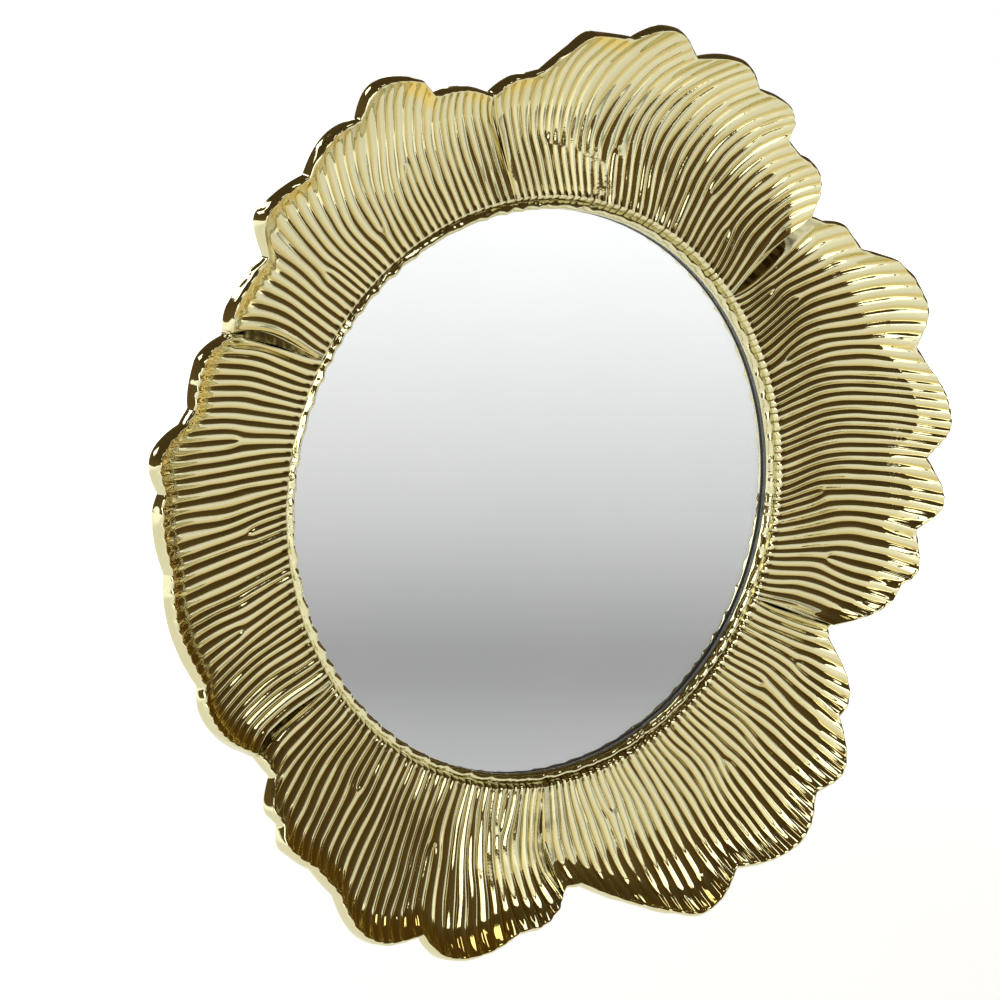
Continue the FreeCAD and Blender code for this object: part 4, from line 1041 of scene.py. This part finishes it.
def make_eye(sizes, material):
    """Wire eye: a round section carried along a closed loop, a rectangle with quarter-circle corners."""
    corner = sizes.eye_corner
    half, low = sizes.eye_half - corner, sizes.eye_length - 2 * corner
    arc = np.linspace(0, np.pi / 2, 13)
    centres = ((half, -corner), (half, -corner - low), (-half, -corner - low), (-half, -corner))
    corners = []
    for number, (x, z) in enumerate(centres):
        turn = np.pi / 2 - arc - number * np.pi / 2
        side, up = np.cos(turn), np.sin(turn)
        corners.append(np.stack([x + corner * side, z + corner * up, side, up], -1))
    path = np.concatenate(corners)
    around = np.linspace(0, 2 * np.pi, 25)[:-1][None]
    side, out = sizes.wire * np.cos(around), sizes.wire * np.sin(around)
    points = np.stack([path[:, :1] + path[:, 2:3] * side, -sizes.barrel_height + out + 0 * path[:, :1],
                       sizes.barrel_place + path[:, 1:2] + path[:, 3:4] * side], -1) * MILLIMETRE
    faces = grid_faces(len(path), around.shape[1], close_rows=True, close_columns=True)
    item = add_mesh("hanger_eye_wire", points, faces, material)
    return fit_to_body(item, EYE_BODY, "zinc_wire", "hanger_eye")


class MIRROR_OT_hanger(bpy.types.Operator):
    """Wire eye of the hanger, and the finish of its plate and of the clips"""
    bl_idname = "mirror.hanger"
    bl_label = "Hanger"

    def execute(self, context):
        sizes, colours = context.scene.mirror_sizes, context.scene.mirror_colours
        make_eye(sizes, zinc_steel(colours, "zinc_wire", 500.0, 0.24))
        sheet = zinc_steel(colours, "zinc_sheet", 260.0, 0.34)
        finish_nodes(("retaining_clip_", sheet), ("hanger_plate", sheet))
        return {"FINISHED"}


# Stage

class MIRROR_OT_stage(bpy.types.Operator):
    """Camera, pale floor, dark canopy, graded card, soft lamps and white surround"""
    bl_idname = "mirror.stage"
    bl_label = "Studio"

    def execute(self, context):
        add_camera()
        add_floor()
        add_canopy()
        add_card()
        add_lamps()
        add_world()
        context.scene.view_settings.view_transform = "Standard"
        return {"FINISHED"}


def direction(azimuth, elevation):
    """Unit vector from the object to a place at this azimuth and elevation; azimuth 0 is the front."""
    a, e = math.radians(azimuth), math.radians(elevation)
    return Vector((math.sin(a) * math.cos(e), -math.cos(a) * math.cos(e), math.sin(e)))


def add_camera():
    """Camera at the photograph's place: 1.3 m from the glass, to its left and a little above."""
    back = direction(-33.84, 8.71)
    camera = bpy.data.objects.new("camera", bpy.data.cameras.new("camera"))
    camera.location = Vector((0, -0.011, 0)) + back * 1.3
    camera.rotation_mode = "QUATERNION"
    camera.rotation_quaternion = (-back).to_track_quat("-Z", "Y")
    camera.data.sensor_width = 36
    camera.data.lens = 133.07
    camera.data.shift_x = -0.0395
    camera.data.shift_y = -0.0063
    camera.data.clip_start = 0.05
    camera.data.clip_end = 60
    bpy.context.scene.collection.objects.link(camera)
    bpy.context.scene.camera = camera


def bright_for_eye(tree, strength, other):
    """Strength that is the first for camera, glossy and transmission rays, and the other for the rest."""
    path = add_node(tree, "ShaderNodeLightPath")
    seen = total(tree, path.outputs["Is Camera Ray"], path.outputs["Is Glossy Ray"], "MAXIMUM")
    seen = total(tree, seen, path.outputs["Is Transmission Ray"], "MAXIMUM")
    return map_range(tree, seen, 0.0, 1.0, other, strength)


def height_share(tree, low, high):
    """How far a point lies up from one height to another, in metres, from 0 to 1."""
    place = add_node(tree, "ShaderNodeTexCoord").outputs["Object"]
    split = add_node(tree, "ShaderNodeSeparateXYZ", (("Vector", place),))
    return map_range(tree, split.outputs["Z"], low, high, 0.0, 1.0)


def add_floor():
    """Pale floor well below the mirror, which hangs at 0.8 m."""
    size, height = 14.0, -0.8
    corners = [(x * size, y * size, height) for x, y in ((-1, -1), (1, -1), (1, 1), (-1, 1))]
    material, tree, shader = add_material("pale_floor", Base_Color=(0.86, 0.86, 0.855, 1.0), Roughness=0.9,
                                          Emission_Color=(1.0, 1.0, 1.0, 1.0))
    tree.links.new(bright_for_eye(tree, 0.72, 0.25), shader.inputs["Emission Strength"])
    floor = add_mesh("floor", np.array(corners), np.array([[0, 1, 2, 3]]), material)


def add_canopy():
    """Dark warm canopy over the set: part of a sphere, open below a low edge, seen only in reflections."""
    radius, low, high, rows, columns = 3.4, -2.0, 89.5, 25, 96
    a = np.radians(np.linspace(0, 360, columns + 1)[:-1])[None]
    e = np.radians(np.linspace(low, high, rows))[:, None]
    points = np.stack([np.cos(e) * np.sin(a), -np.cos(e) * np.cos(a), np.sin(e) + 0 * a], -1) * radius
    material, tree, shader = add_material("dark_cloth", Base_Color=(0.01, 0.01, 0.01, 1.0), Roughness=0.95,
                                          Emission_Strength=1.0)
    tone = mix_colour(tree, height_share(tree, -0.1, 2.6), (0.125, 0.078, 0.022), (0.060, 0.036, 0.008))
    tree.links.new(tone, shader.inputs["Emission Color"])
    canopy = add_mesh("canopy", points, grid_faces(rows, columns, close_columns=True), material)
    canopy.visible_camera = canopy.visible_shadow = False


def add_card():
    """Graded card in front and to the right, where the glass looks: white at the top, grey lower down."""
    out = direction(33.84, 0)
    side = Vector((out.y, -out.x, 0))
    distance, half, low, high = 2.7, 2.2, -0.8, -0.1
    corners = [out * distance + side * s * half + Vector((0, 0, z))
               for s, z in ((-1, low), (1, low), (1, high), (-1, high))]
    material, tree, shader = add_material("graded_card", Base_Color=(0.0, 0.0, 0.0, 1.0), Roughness=1.0,
                                          Emission_Strength=1.0)
    grade = add_node(tree, "ShaderNodeValToRGB", (("Fac", height_share(tree, low, high)),))
    stops = ((0.0, 0.62), (0.122, 0.52), (0.187, 0.46), (0.25, 0.383), (0.283, 0.372), (0.315, 0.383),
             (0.378, 0.456), (0.441, 0.543), (0.505, 0.631), (0.568, 0.70), (0.693, 0.824), (0.849, 0.98),
             (1.0, 1.10))
    while len(grade.color_ramp.elements) < len(stops):
        grade.color_ramp.elements.new(0.5)
    for element, (position, level) in zip(grade.color_ramp.elements, stops):
        element.position = position
        element.color = (level, level, level, 1.0)
    tree.links.new(grade.outputs["Color"], shader.inputs["Emission Color"])
    card = add_mesh("graded_card", np.array(corners), np.array([[0, 1, 2, 3]]), material)
    card.visible_camera = card.visible_diffuse = card.visible_shadow = False


def add_lamps():
    """Softboxes: azimuth, elevation, distance, width, height and brightness of each."""
    boxes = (
        ("softbox_left", -35.5, 14.5, 2.6, 2.05, 1.15, 2.4),
        ("softbox_top", -10, 58, 2.6, 0.7, 0.7, 2.2),
        ("softbox_back", -138, 42, 2.8, 1.1, 0.9, 3.0),
        ("softbox_behind", 160, 15, 2.8, 1.4, 0.9, 2.0),
    )
    for name, azimuth, elevation, distance, width, height, level in boxes:
        lamp = bpy.data.lights.new(name, "AREA")
        lamp.shape = "RECTANGLE"
        lamp.size, lamp.size_y = width, height
        lamp.energy = level * math.pi * width * height
        item = bpy.data.objects.new(name, lamp)
        towards = direction(azimuth, elevation)
        item.location = towards * distance
        item.rotation_mode = "QUATERNION"
        item.rotation_quaternion = towards.to_track_quat("Z", "Y")
        item.visible_camera = False
        bpy.context.scene.collection.objects.link(item)


def add_world():
    """White surround at a plain level."""
    world = bpy.data.worlds.new("studio")
    world.use_nodes = True
    tree = world.node_tree
    background = tree.nodes["Background"]
    background.inputs["Color"].default_value = (1.0, 1.0, 1.0, 1.0)
    tree.links.new(bright_for_eye(tree, 1.0, 0.8), background.inputs["Strength"])
    bpy.context.scene.world = world


class MIRROR_PT_panel(bpy.types.Panel):
    """Pieces of the mirror, in the order they are made"""
    bl_idname = "MIRROR_PT_panel"
    bl_label = "Petal Mirror"
    bl_space_type = "VIEW_3D"
    bl_region_type = "UI"
    bl_category = "Petal Mirror"

    def draw(self, context):
        for group in (context.scene.mirror_sizes, context.scene.mirror_colours):
            box = self.layout.box()
            for name in group.bl_rna.properties.keys():
                if name not in ("rna_type", "name"):
                    box.prop(group, name)
        for operator in OPERATORS:
            self.layout.operator(operator.bl_idname)


OPERATORS = (MIRROR_OT_petals, MIRROR_OT_rings, MIRROR_OT_glazing, MIRROR_OT_screws, MIRROR_OT_bumpers,
             MIRROR_OT_hanger, MIRROR_OT_stage)
CLASSES = (MirrorSizes, MirrorColours, *OPERATORS, MIRROR_PT_panel)


def register():
    for item in CLASSES:
        bpy.utils.register_class(item)
    bpy.types.Scene.mirror_sizes = PointerProperty(type=MirrorSizes)
    bpy.types.Scene.mirror_colours = PointerProperty(type=MirrorColours)


def unregister():
    del bpy.types.Scene.mirror_colours
    del bpy.types.Scene.mirror_sizes
    for item in reversed(CLASSES):
        bpy.utils.unregister_class(item)


def main():
    register()
    bpy.ops.mirror.petals()
    bpy.ops.mirror.rings()
    bpy.ops.mirror.glazing()
    bpy.ops.mirror.screws()
    bpy.ops.mirror.bumpers()
    bpy.ops.mirror.hanger()
    bpy.ops.mirror.stage()


if __name__ == "__main__":
    main()
